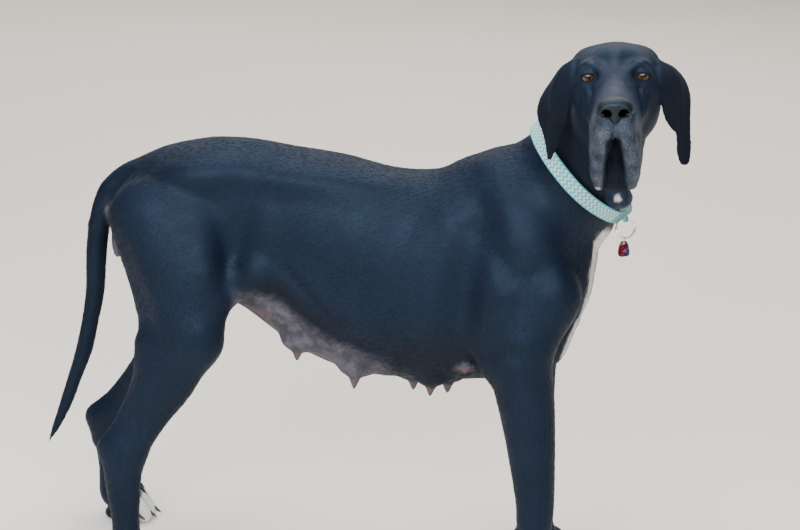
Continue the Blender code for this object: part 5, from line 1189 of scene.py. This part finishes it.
def skin_material():
    n = Nodes("coat_skin", Roughness=0.42, Specular_IOR_Level=0.24, Specular_Tint=(0.50, 0.73, 1.0, 1), Sheen_Weight=0.02, Sheen_Roughness=0.35, Sheen_Tint=(0.40, 0.62, 1.0, 1))
    P0 = n.coords()
    fine = n.noise(n.scaled(P0, (1.0, 1.0, 1.0)), 900.0, 2.0)
    P, base, (r, g, b, al) = coat_colour(n, n.span(fine, 0.3, 0.7))
    streak = n.noise(n.scaled(P, (60.0, 420.0, 230.0)), 1.0, 3.0)
    skinny = n.noise(P, 320.0, 3.0, 0.6)
    height = n.math("ADD", n.math("MULTIPLY", streak, 0.6), n.math("MULTIPLY", skinny, 0.5))
    rough = n.span(n.noise(P, 24.0), 0.3, 0.7, 0.48, 0.58)
    rough = n.math("ADD", rough, n.math("MULTIPLY", g, 0.12))
    rough = n.math("ADD", n.math("ADD", rough, n.math("MULTIPLY", al, 0.22)), n.math("MULTIPLY", n.attribute("matt_and_shade", "Fac"), 0.40), clamp=True)
    return n.set(Base_Color=base, Roughness=rough, Normal=n.bump(height, 0.28, 0.0010))

def tuft_material():
    n = Nodes("coat_hair", Roughness=0.40, Specular_IOR_Level=0.24, Specular_Tint=(0.50, 0.73, 1.0, 1), Sheen_Weight=0.02, Sheen_Roughness=0.35, Sheen_Tint=(0.40, 0.62, 1.0, 1))
    hair = n.attribute("hair", "Fac")
    P, base, (r, g, b, al) = coat_colour(n, hair)
    tone = n.mix(n.span(hair, 0.0, 1.0), (0.86, 0.86, 0.86), (1.14, 1.14, 1.14))
    mul = n.node("ShaderNodeMix", data_type="RGBA", blend_type="MULTIPLY")
    mul.inputs[0].default_value = 1.0
    n.wire(base, mul.inputs[6]).wire(tone, mul.inputs[7])
    rough = n.span(hair, 0.0, 1.0, 0.48, 0.62)
    rough = n.math("ADD", n.math("ADD", rough, n.math("MULTIPLY", al, 0.22)), n.math("MULTIPLY", n.attribute("matt_and_shade", "Fac"), 0.36), clamp=True)
    return n.set(Base_Color=mul.outputs[2], Roughness=rough, Normal=n.bump(n.noise(P, 1400.0, 1.0), 0.2, 0.0003))

def nose_material():
    n = Nodes("nose_leather", Roughness=0.3, Specular_IOR_Level=0.3, Specular_Tint=(0.55, 0.78, 1.0, 1), Coat_Weight=0.05, Coat_Roughness=0.22)
    P = n.coords()
    cell = n.voronoi(P, 620.0)
    base = n.mix(n.span(n.noise(P, 60.0), 0.35, 0.7), (0.0030, 0.0034, 0.0050), (0.0065, 0.0070, 0.0095))
    rough = n.span(cell, 0.0, 0.8, 0.26, 0.44)
    return n.set(Base_Color=base, Roughness=rough, Normal=n.bump(cell, 0.6, 0.0006))

def nostril_shade_material():
    n = Nodes("nostril_painted_shade", Roughness=1.0, Specular_IOR_Level=0.0)
    P = n.coords()
    # painted shade: the insides of the nostrils are near black with no shine
    base = n.mix(n.span(n.noise(P, 300.0), 0.3, 0.7), (0.0010, 0.0010, 0.0014), (0.0024, 0.0022, 0.0026))
    return n.set(Base_Color=base, Roughness=n.span(n.noise(P, 500.0), 0.3, 0.7, 0.9, 1.0), Normal=n.bump(n.noise(P, 900.0), 0.3, 0.0003))

def lid_material():
    n = Nodes("lid_rim", Roughness=0.55, Specular_IOR_Level=0.15)
    P = n.coords()
    base = n.mix(n.span(n.noise(P, 400.0), 0.3, 0.7), (0.0030, 0.0026, 0.0030), (0.0090, 0.0062, 0.0060))
    return n.set(Base_Color=base, Roughness=n.span(n.noise(P, 700.0), 0.3, 0.7, 0.45, 0.62), Normal=n.bump(n.noise(P, 900.0), 0.25, 0.0003))

def eye_material():
    """Rings of colour by how far a point is from the eye's axis, kept in an attribute."""
    n = Nodes("amber_eye", Roughness=0.05, Specular_IOR_Level=0.2, Coat_Weight=0.8, Coat_Roughness=0.015, Coat_IOR=1.36)
    a = n.attribute("ring", "Fac")
    P = n.coords()
    rays = n.attribute("ray", "Fac")
    wob = n.math("MULTIPLY", n.math("SUBTRACT", n.noise(P, 500.0), 0.5), 0.035)
    t = n.math("ADD", a, wob)
    iris = n.curve(t, [(0.00, (0.001, 0.001, 0.001)), (0.115, (0.001, 0.001, 0.001)), (0.145, (0.034, 0.012, 0.004)), (0.23, (0.095, 0.038, 0.013)), (0.31, (0.060, 0.023, 0.009)),
                       (0.375, (0.014, 0.007, 0.005)), (0.43, (0.010, 0.007, 0.007)), (0.56, (0.045, 0.034, 0.032)), (1.0, (0.050, 0.028, 0.026))])
    fibre = n.mix(n.span(rays, 0.0, 1.0), (0.65, 0.62, 0.6), (1.25, 1.2, 1.1))
    mul = n.node("ShaderNodeMix", data_type="RGBA", blend_type="MULTIPLY")
    mul.inputs[0].default_value = 1.0
    n.wire(iris, mul.inputs[6]).wire(fibre, mul.inputs[7])
    return n.set(Base_Color=mul.outputs[2], Roughness=n.span(t, 0.45, 0.6, 0.04, 0.12))

def claw_material():
    n = Nodes("claw_horn", Roughness=0.35)
    P = n.coords()
    line = n.noise(n.scaled(P, (90.0, 900.0, 300.0)), 1.0, 2.0)
    base = n.mix(n.span(line, 0.3, 0.7), (0.010, 0.009, 0.009), (0.040, 0.034, 0.030))
    return n.set(Base_Color=base, Roughness=n.span(line, 0.3, 0.7, 0.28, 0.5), Normal=n.bump(line, 0.4, 0.0004))

def web_material():
    """Webbing: chevrons of white and teal between teal edges. UV runs in millimetres: along the band and across it."""
    n = Nodes("chevron_webbing", Roughness=0.75, Sheen_Weight=0.15, Sheen_Roughness=0.4)
    uv = n.node("ShaderNodeUVMap", uv_map="band").outputs[0]
    sx = n.node("ShaderNodeSeparateXYZ")
    n.wire(uv, sx.inputs[0])
    u, v = sx.outputs[0], sx.outputs[1]
    tri = n.math("ABSOLUTE", n.math("SUBTRACT", n.math("FRACT", n.math("DIVIDE", v, 8.2)), 0.5))
    wave = n.math("FRACT", n.math("DIVIDE", n.math("ADD", u, n.math("MULTIPLY", tri, 11.0)), 8.4))
    teal_line = n.span(n.math("ABSOLUTE", n.math("SUBTRACT", wave, 0.5)), 0.20, 0.25)
    mott = n.noise(n.scaled(uv, (0.45, 0.45, 0.45)), 1.0, 3.0)
    teal = n.mix(n.span(mott, 0.3, 0.7), (0.055, 0.390, 0.420), (0.120, 0.520, 0.530))
    white = n.mix(n.span(mott, 0.3, 0.7), (0.72, 0.78, 0.77), (0.60, 0.72, 0.72))
    body = n.mix(teal_line, white, teal)
    edge = n.span(n.math("ABSOLUTE", v), 10.7, 11.1)
    col = n.mix(edge, body, (0.030, 0.330, 0.370))
    end = n.attribute("plain", "Fac")
    col = n.mix(end, col, n.mix(n.span(n.noise(n.scaled(uv, (1.1, 1.1, 1.1)), 1.0, 4.0), 0.35, 0.65), (0.040, 0.250, 0.280), (0.220, 0.460, 0.460)))
    weave = n.math("MULTIPLY", n.math("SINE", n.math("MULTIPLY", u, 9.0)), n.math("SINE", n.math("MULTIPLY", v, 9.0)))
    col = n.mix(n.span(weave, -1.0, 1.0, 0.0, 0.22), col, (0.02, 0.10, 0.11))
    return n.set(Base_Color=col, Roughness=n.span(weave, -1.0, 1.0, 0.68, 0.85), Normal=n.bump(weave, 0.6, 0.0003))

def metal_material(name, colour, rough, scratch):
    n = Nodes(name, Roughness=rough, Metallic=1.0)
    P = n.coords()
    s = n.noise(n.scaled(P, (300.0, 300.0, 2400.0)), 1.0, 4.0)
    worn = n.span(n.noise(P, 260.0, 4.0, 0.65), 0.55, 0.72)
    base = n.mix(n.math("MULTIPLY", worn, scratch), colour, (0.55, 0.55, 0.56))
    return n.set(Base_Color=base, Roughness=n.span(s, 0.3, 0.7, rough * 0.8, rough * 1.5), Normal=n.bump(s, 0.25, 0.0002))
# ---------------------------------------------------------------- the head's own pieces
def field_mesh(name, form, h, pad=0.004):
    F = Flesh()
    F.ops.append((form, 0.001, 1))
    lo, hi = form[1] - pad, form[2] + pad
    ax = [np.arange(lo[i], hi[i] + h, h) for i in range(3)]
    V, Q = contour(ax, F.fill(ax, np.full([len(a) for a in ax], 0.2, np.float32)))
    return F, V, Q

def make_nose():
    form = placed(joined(nose_forms()), HEAD, EYES_AT)
    F, V, Q = field_mesh("nose_leather", form, 0.00085)
    me = tri_mesh("nose_leather", V, Q)
    P, N = co_of(me), normals_of(me)
    P += N * (-0.0002 + 0.00016 * grain(P, 700.0)[:, None] + 0.00012 * grain(P, 1300.0, 4.0)[:, None])
    me.vertices.foreach_set("co", (P - SHIFT).astype(np.float32).ravel())
    me.update()
    me.materials.append(nose_material())
    me.materials.append(nostril_shade_material())
    H = to_head(P)
    hole = np.zeros(len(P), bool)
    for s in (-1, 1):
        q = (H - (0.1510, s * 0.0132, -0.0268)) @ rot((0, 0, 1), s * 22)
        hole |= np.linalg.norm(q / (0.0190, 0.0068, 0.0062), axis=1) < 1.10
    # the faces inside the nostrils take the painted shade
    me.polygons.foreach_set("material_index", hole[np.asarray(Q)].all(1).astype(np.int32))
    return link("nose_leather", me)

GAZE = {-1: (1.0, -0.02, 0.02), 1: (1.0, 0.10, 0.02)}
def make_eye(s, mat):
    """An eyeball with a clear bulge over the iris; ring and ray say where each point lies on it."""
    name = "eyeball_" + ("right" if s < 0 else "left")
    bm = bmesh.new()
    bmesh.ops.create_uvsphere(bm, u_segments=64, v_segments=48, radius=1.0)
    me = bpy.data.meshes.new(name)
    bm.to_mesh(me)
    bm.free()
    P = co_of(me)
    away = np.arccos(np.clip(P[:, 2], -1, 1))
    r = (EYE_R - 0.0002) * (1 + 0.050 * np.exp(-(away / 0.50) ** 4))
    r = np.where(away > 1.6, EYE_R - 0.0006, r)
    ring = away / 1.10 * 0.5
    ray = 0.5 + 0.5 * np.array([noise.noise((math.cos(t) * 9, math.sin(t) * 9, a * 2.0)) for t, a in zip(np.arctan2(P[:, 1], P[:, 0]), away)])
    at = in_head((EYE_X, s * EYE_Y, EYE_Z))
    z = unit(HEAD @ unit(GAZE[s]))
    x = unit(np.cross((0, 0, 1.0), z))
    R = np.stack([x, np.cross(z, x), z], 1)
    W = (P * r[:, None]) @ R.T + at
    me.vertices.foreach_set("co", (W - SHIFT).astype(np.float32).ravel())
    me.update()
    for key, val in (("ring", ring), ("ray", ray)):
        a = me.attributes.new(key, "FLOAT", "POINT")
        a.data.foreach_set("value", val.astype(np.float32))
    me.materials.append(mat)
    return link(name, me)

def tube_mesh(name, centre, radius, sides=10, closed=True, flat=None):
    """A tube along points; flat gives a direction and how thin the tube is along it."""
    c = np.asarray(centre, float)
    n = len(c)
    r = np.broadcast_to(np.asarray(radius, float), (n,))
    t = np.roll(c, -1, 0) - np.roll(c, 1, 0) if closed else np.gradient(c, axis=0)
    t /= np.linalg.norm(t, axis=1)[:, None]
    ref = c - c.mean(0) if closed else np.tile((0.0, 0.0, 1.0), (n, 1))
    a = ref - (ref * t).sum(1)[:, None] * t
    a /= np.linalg.norm(a, axis=1)[:, None] + 1e-9
    b = np.cross(t, a)
    ang = np.arange(sides) * 2 * math.pi / sides
    V = c[:, None] + r[:, None, None] * (np.cos(ang)[None, :, None] * a[:, None] + np.sin(ang)[None, :, None] * b[:, None])
    V = V.reshape(-1, 3)
    F = []
    for i in range(n if closed else n - 1):
        for j in range(sides):
            i2, j2 = (i + 1) % n, (j + 1) % sides
            F.append((i * sides + j, i * sides + j2, i2 * sides + j2, i2 * sides + j))
    bm = bmesh.new()
    vs = [bm.verts.new(p) for p in (V - SHIFT)]
    for f in F:
        bm.faces.new([vs[k] for k in f])
    if not closed:
        bm.faces.new([vs[k] for k in range(sides)][::-1])
        bm.faces.new([vs[(n - 1) * sides + k] for k in range(sides)])
    bmesh.ops.recalc_face_normals(bm, faces=bm.faces)
    me = bpy.data.meshes.new(name)
    bm.to_mesh(me)
    bm.free()
    return link(name, me)

def lid_outline(s, n=56):
    """The edge of the opening between the lids, on the eyeball, in world coordinates."""
    at = np.array((EYE_X, s * EYE_Y, EYE_Z))
    out = []
    for k in range(n):
        t = 2 * math.pi * k / n
        c, w = math.cos(t), math.sin(t)
        side = LID_HALF_WIDE * c                               # towards the nose at c < 0
        up = (LID_UP if w > 0 else LID_DOWN) * abs(w) ** 1.15 * math.copysign(1, w) - 0.0006 * c
        y = side + 0.0012
        q = np.array((0.0, s * y, up))
        q = rot((1, 0, 0), -s * 6) @ q
        rr = EYE_R + 0.0008
        q[0] = math.sqrt(max(rr * rr - q[1] ** 2 - q[2] ** 2, 1e-8))
        out.append(in_head(at + q))
    return np.array(out)
LID_HALF_WIDE, LID_UP, LID_DOWN = 0.0102, 0.0052, 0.0060

def make_claw(name, at, forward, mat):
    """A blunt curved claw, ridged along its back."""
    z = unit(np.asarray(forward) + (0, 0, -0.30))
    x = unit(np.array((0, 0, -1.0)) + z * z[2])
    y = np.cross(z, x)
    rows = 12
    V = []
    for i in range(rows):
        t = i / (rows - 1)
        r = 0.0042 * (1 - t) ** 0.55 * (1 - 0.15 * t) + 0.0002
        c = at + z * (0.019 * t - 0.0095) + x * (0.0040 * t * t)
        for k in range(12):
            a = 2 * math.pi * k / 12
            V.append(c + x * math.cos(a) * r * (0.92 + 0.12 * (math.cos(a) < 0)) + y * math.sin(a) * r * 0.78)
    bm = bmesh.new()
    vs = [bm.verts.new(p) for p in np.array(V) - SHIFT]
    for i in range(rows - 1):
        for k in range(12):
            a, b = i * 12 + k, i * 12 + (k + 1) % 12
            bm.faces.new((vs[a], vs[b], vs[b + 12], vs[a + 12]))
    bm.faces.new(vs[:12][::-1])
    bm.faces.new(vs[-12:])
    bmesh.ops.recalc_face_normals(bm, faces=bm.faces)
    me = bpy.data.meshes.new(name)
    bm.to_mesh(me)
    bm.free()
    me.materials.append(mat)
    return link(name, me)

# ---------------------------------------------------------------- collar, ring and tags
def make_collar(dog):
    n = 180
    around, dirs = collar_path(dog, 36)
    # the same path as the solid's, smoothed between its points
    loop = np.vstack([around[-2:], around, around[:3]])
    fine = np.vstack([spline(loop[i:i + 4], 5)[5:10] for i in range(1, 37)])
    ring_dirs = fine - COLLAR_AT
    ring_dirs -= (ring_dirs @ COLLAR_AXIS)[:, None] * COLLAR_AXIS
    ring_dirs /= np.linalg.norm(ring_dirs, axis=1)[:, None]
    n = len(fine)
    step = np.linalg.norm(np.roll(fine, -1, 0) - fine, axis=1)
    u = np.concatenate([[0], np.cumsum(step)])[:-1] * 1000
    half, thick = COLLAR_WIDTH / 2, COLLAR_THICK
    # section: outer face from edge to edge with soft edges, then the inner face back
    outer = [(-half + 0.0004, 0.15), (-half, 0.5), (-half + 0.0004, 0.9)] + [(-half + COLLAR_WIDTH * k / 14, 1.0) for k in range(1, 14)] + [(half - 0.0004, 0.9), (half, 0.5), (half - 0.0004, 0.15)]
    inner = [(half * 0.9, 0.02), (0.0, 0.02), (-half * 0.9, 0.02)]
    sec = outer + inner
    m = len(sec)
    V = np.zeros((n, m, 3))
    U = np.zeros((n, m, 2))
    for j, (off, t) in enumerate(sec):
        V[:, j] = fine + COLLAR_AXIS * off + ring_dirs * (thick * t)[..., None] if np.ndim(t) else fine + COLLAR_AXIS * off + ring_dirs * thick * t
        U[:, j, 0] = u
        U[:, j, 1] = off * 1000
    F, uvs = [], []
    total = u[-1] + step[-1] * 1000
    for i in range(n):
        for j in range(m):
            i2, j2 = (i + 1) % n, (j + 1) % m
            F.append((i * m + j, i2 * m + j, i2 * m + j2, i * m + j2))
            w = total if i2 == 0 else 0
            uvs += [tuple(U[i, j]), (U[i2, j, 0] + w, U[i2, j, 1]), (U[i2, j2, 0] + w, U[i2, j2, 1]), tuple(U[i, j2])]
    me = tri_mesh("collar_band", V.reshape(-1, 3) - SHIFT, np.array(F))
    layer = me.uv_layers.new(name="band")
    layer.data.foreach_set("uv", np.array(uvs, np.float32).ravel())
    front = int(np.argmax(fine @ np.array((0.71, -0.40, -0.58))))
    gap = np.abs((u - u[front] + total / 2) % total - total / 2)
    plain = np.repeat(1 - ramp(gap, 17, 19), m)
    a = me.attributes.new("plain", "FLOAT", "POINT")
    a.data.foreach_set("value", plain.astype(np.float32))
    me.materials.append(web_material())
    o = link("collar_band", me)
    bm = bmesh.new()
    bm.from_mesh(me)
    bmesh.ops.recalc_face_normals(bm, faces=bm.faces)
    if bm.calc_volume(signed=True) < 0:
        bmesh.ops.reverse_faces(bm, faces=bm.faces)
    bm.to_mesh(me)
    bm.free()
    front36 = int(np.argmax(around @ np.array((0.71, -0.40, -0.58))))
    return o, around[front36], dirs[front36]
# ---------------------------------------------------------------- building it all
HIDDEN_FLESH = ["head", "ear_right", "ear_left", "neck", "chest", "loins", "tail", "tail_tip"] + \
    [p + "_" + side for side in ("right", "left") for p in ("shoulder", "forearm", "pastern", "forepaw", "thigh", "shank", "hock", "hindpaw")]

dog, skin, SP, SN = make_skin()
M = marks(SP, SN)
paint(skin.data, M, matt_and_shade(SP))
skin_mat, hair_mat = skin_material(), tuft_material()
skin.data.materials.append(skin_mat)
uv = skin_uv(skin)
tufts = make_tufts(skin, SP, SN, uv)
faces = faces_of(skin.data)
tree = BVHTree.FromPolygons(SP.tolist(), faces.tolist())
tufts = hug(tufts, tree)
skin.data.vertices.foreach_set("co", (SP - SHIFT).astype(np.float32).ravel())
skin.data.update()
skin.data.normals_split_custom_set_from_vertices(SN.tolist())
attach(skin, "root")
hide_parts(*HIDDEN_FLESH)

R = tufts["root"]
H = to_head(R)
where = np.zeros(len(R), int)                                        # trunk, right side
where[R[:, 1] > 0] = 1                                               # trunk, left side
where[R[:, 2] < 0.40] = 2                                            # legs
where[(R[:, 0] < -0.405) & (abs(R[:, 1]) < 0.04)] = 3                # tail
where[(R[:, 2] > 0.60) & (R[:, 0] > 0.28)] = 4                       # neck
where[(np.linalg.norm(H - (0.0, 0, -0.06), axis=1) < 0.20) & (R[:, 2] > 0.78) & (H[:, 0] > -0.10)] = 5
for k, name in enumerate(("coat_right", "coat_left", "coat_legs", "coat_tail", "coat_neck", "coat_head")):
    pick = np.flatnonzero(where == k)
    for i in range(0, len(pick), 19000):
        o = tuft_piece(name + ("" if i == 0 else "_%d" % (i // 19000 + 1)), tufts, pick[i:i + 19000], hair_mat)
        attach(o, "root")
print("tufts", len(R), np.bincount(where))

nose = make_nose()
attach(nose, "root"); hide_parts("nose")
eye_mat, lid_mat, claw_mat = eye_material(), lid_material(), claw_material()
for s, side in ((-1, "right"), (1, "left")):
    e = make_eye(s, eye_mat)
    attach(e, "root"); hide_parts("eye_" + side)
    rim = tube_mesh("lid_rim_" + side, lid_outline(s), 0.00085, 8)
    rim.data.materials.append(lid_mat)
    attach(rim, "root")

for s, side in ((NEAR, "right"), (FAR, "left")):
    for foot, (x, y), size, turn in (("fore", FORE_FOOT[s], 1.0, -s * 4), ("hind", HIND_FOOT[s], 0.93, -s * 3)):
        for i in range(4):
            line = toe_line(i, x, y, size, turn)
            fwd = unit((line[3] - line[2]) * (1, 1, 0))
            at = line[3] + fwd * 0.0145 * size + (0, 0, 0.0035)
            c = make_claw("horn_%s_%s_%d" % (foot, side, i + 1), at, fwd, claw_mat)
            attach(c, "root"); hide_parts("claw_%s_%s_%d" % (foot, side, i + 1))

collar, front_at, out = make_collar(dog)
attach(collar, "root"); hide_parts("collar")
steel = metal_material("bright_steel", (0.62, 0.62, 0.64), 0.16, 0.0)
ring_r, ring_wire, link_r, link_wire = 0.0155, 0.0017, 0.0055, 0.0007
tag_long, tag_wide, tag_thick, tag_hole = 0.0260, 0.0135, 0.0012, 0.0016
hang = math.radians(40)
loop_at = front_at + out * (COLLAR_THICK * 1.05 + 0.0060) + COLLAR_AXIS * 0.0070
ring_at = loop_at + (out * math.cos(hang) - COLLAR_AXIS * math.sin(hang)) * ring_r
ring_face = unit(np.cross(COLLAR_AXIS, out))
def circle(at, face, r, n, up=None):
    a = unit(np.cross(face, (0.3, 0.9, 0.2)))
    b = np.cross(unit(face), a)
    t = np.arange(n) * 2 * math.pi / n
    return at + r * (np.cos(t)[:, None] * a + np.sin(t)[:, None] * b)
ring = tube_mesh("o_ring", circle(ring_at, ring_face, ring_r, 72), ring_wire, 14)
ring.data.materials.append(steel)
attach(ring, "root"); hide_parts("collar_ring")
low_point = ring_at + unit(np.array((0, 0, -1.0)) - ring_face * (-ring_face[2])) * ring_r
link_at = low_point + (0, 0, -(link_r - link_wire - ring_wire - 0.0003))
small = tube_mesh("split_link", circle(link_at, (1, 0, 0), link_r, 48), link_wire, 10)
small.data.materials.append(steel)
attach(small, "root"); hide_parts("tag_link")
# the webbing's small loop that holds the ring: a flat strap bent into a ring
keep_axis = COLLAR_AXIS * math.cos(hang) + out * math.sin(hang)
keep_out = out * math.cos(hang) - COLLAR_AXIS * math.sin(hang)
t = np.arange(40) * 2 * math.pi / 40
sec = [(-0.0030, -0.0005), (-0.0030, 0.0005), (0.0030, 0.0005), (0.0030, -0.0005)]
V, F, uvs = [], [], []
for i, a in enumerate(t):
    d = keep_out * math.cos(a) + unit(np.cross(COLLAR_AXIS, out)) * math.sin(a)
    for off, rr in sec:
        V.append(loop_at + d * (0.0046 + rr) + keep_axis * off)
for i in range(40):
    for j in range(4):
        i2, j2 = (i + 1) % 40, (j + 1) % 4
        F.append((i * 4 + j, i2 * 4 + j, i2 * 4 + j2, i * 4 + j2))
        uvs += [(i * 0.57, sec[j][0] * 1000), ((i + 1) * 0.57, sec[j][0] * 1000), ((i + 1) * 0.57, sec[j2][0] * 1000), (i * 0.57, sec[j2][0] * 1000)]
me = tri_mesh("ring_keeper", np.array(V) - SHIFT, np.array(F))
layer = me.uv_layers.new(name="band")
layer.data.foreach_set("uv", np.array(uvs, np.float32).ravel())
a = me.attributes.new("plain", "FLOAT", "POINT")
a.data.foreach_set("value", np.ones(len(V), np.float32))
me.materials.append(collar.data.materials[0])
bm = bmesh.new()
bm.from_mesh(me)
bmesh.ops.recalc_face_normals(bm, faces=bm.faces)
bm.to_mesh(me)
bm.free()
keeper = link("ring_keeper", me)
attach(keeper, "root"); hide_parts("collar_loop")

def tag_mesh(name, y, swing, mat):
    """A plain flat tag: rounded outline, bevelled rim, a hole at its top."""
    n = 48
    def outline(shrink):
        pts = []
        for k in range(n):
            a = 2 * math.pi * k / n
            c, w = math.cos(a), math.sin(a)
            p = 3.2
            r = (abs(c) ** p + abs(w) ** p) ** (-1 / p)
            pts.append((r * c * (tag_wide / 2 - shrink), r * w * (tag_long / 2 - shrink)))
        return pts
    def hole(grow):
        return [(math.cos(2 * math.pi * k / n) * (tag_hole + grow), tag_long / 2 - 0.0036 + math.sin(2 * math.pi * k / n) * (tag_hole + grow)) for k in range(n)]
    h = tag_thick / 2
    loops = [(hole(0.0), -h + 0.0001), (hole(0.0003), -h), (outline(0.0004), -h), (outline(0.0), -h + 0.0003), (outline(0.0), h - 0.0003), (outline(0.0004), h), (hole(0.0003), h), (hole(0.0), h - 0.0001)]
    bm = bmesh.new()
    Rm = rot((0, 1, 0), swing)
    rows = []
    for pts, t in loops:
        rows.append([bm.verts.new(Rm @ np.array((x, t, z - tag_long / 2 + 0.0036)) + link_at + (0, y, -link_r - 0.0003) - SHIFT) for x, z in pts])
    for i in range(len(rows)):
        a, b = rows[i], rows[(i + 1) % len(rows)]
        for k in range(n):
            bm.faces.new((a[k], a[(k + 1) % n], b[(k + 1) % n], b[k]))
    bmesh.ops.recalc_face_normals(bm, faces=bm.faces)
    me = bpy.data.meshes.new(name)
    bm.to_mesh(me)
    bm.free()
    me.materials.append(mat)
    o = link(name, me, smooth=False)
    return o
for name, y, swing, colour in (("tag_red", -0.0013, 7, (0.075, 0.004, 0.010)), ("tag_blue", 0.0013, -14, (0.010, 0.030, 0.090))):
    o = tag_mesh("blank_" + name, y, swing, metal_material(name, colour, 0.30, 0.5))
    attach(o, "root"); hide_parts(name)

# ---------------------------------------------------------------- floor, light and camera
floor = bpy.data.meshes.new("floor")
bm = bmesh.new()
bmesh.ops.create_grid(bm, x_segments=1, y_segments=1, size=9)
bm.to_mesh(floor)
bm.free()
f = Nodes("pale_floor", Roughness=0.85)
P = f.coords()
f.set(Base_Color=f.mix(f.span(f.noise(P, 1.2), 0.3, 0.7), (0.87, 0.79, 0.69), (0.90, 0.82, 0.72)))
floor.materials.append(f.m)
link("floor", floor, smooth=False)

world = bpy.data.worlds.new("studio")
world.use_nodes = True
world.node_tree.nodes["Background"].inputs[0].default_value = (0.86, 0.92, 1.0, 1)
world.node_tree.nodes["Background"].inputs[1].default_value = 0.42
bpy.context.scene.world = world
def area(name, at, to, size, power, colour):
    L = bpy.data.lights.new(name, "AREA")
    L.shape, L.size, L.size_y, L.energy, L.color = "RECTANGLE", size[0], size[1], power, colour
    o = bpy.data.objects.new(name, L)
    bpy.context.scene.collection.objects.link(o)
    d = Vector(to) - Vector(at)
    o.matrix_world = Matrix.Translation(at) @ d.to_track_quat("-Z", "Y").to_matrix().to_4x4()
area("sky", (-0.2, 0.2, 3.4), (0, 0, 0.6), (3.6, 2.8), 150, (0.96, 0.96, 1.0))
area("front", (-0.4, -4.2, 2.7), (0, 0, 0.55), (4.6, 2.0), 330, (0.90, 0.95, 1.0))
area("key", (1.6, -2.8, 2.7), (0.2, 0, 0.7), (1.0, 1.0), 40, (1.0, 0.98, 0.95))
area("behind", (-0.6, 5.0, 3.6), (-0.6, 5.4, 0), (9.0, 4.0), 240, (1.0, 0.97, 0.92))

turn, down, tilt = math.radians(10.0), math.radians(16.3), math.radians(2.0)
look = np.array([-math.sin(turn) * math.cos(down), math.cos(turn) * math.cos(down), -math.sin(down)])
right = np.array([math.cos(turn), math.sin(turn), 0.0])
up = np.cross(right, look)
right, up = right * math.cos(tilt) + up * math.sin(tilt), up * math.cos(tilt) - right * math.sin(tilt)
eye = np.array([0.62854, -2.95442, 1.45]) - SHIFT
camera = bpy.data.cameras.new("camera")
camera.lens, camera.sensor_width, camera.sensor_fit = 83.7, 36.0, "HORIZONTAL"
c = bpy.data.objects.new("camera", camera)
c.matrix_world = Matrix([[right[i], up[i], -look[i], eye[i]] for i in range(3)] + [[0, 0, 0, 1]])
bpy.context.scene.collection.objects.link(c)
bpy.context.scene.camera = c
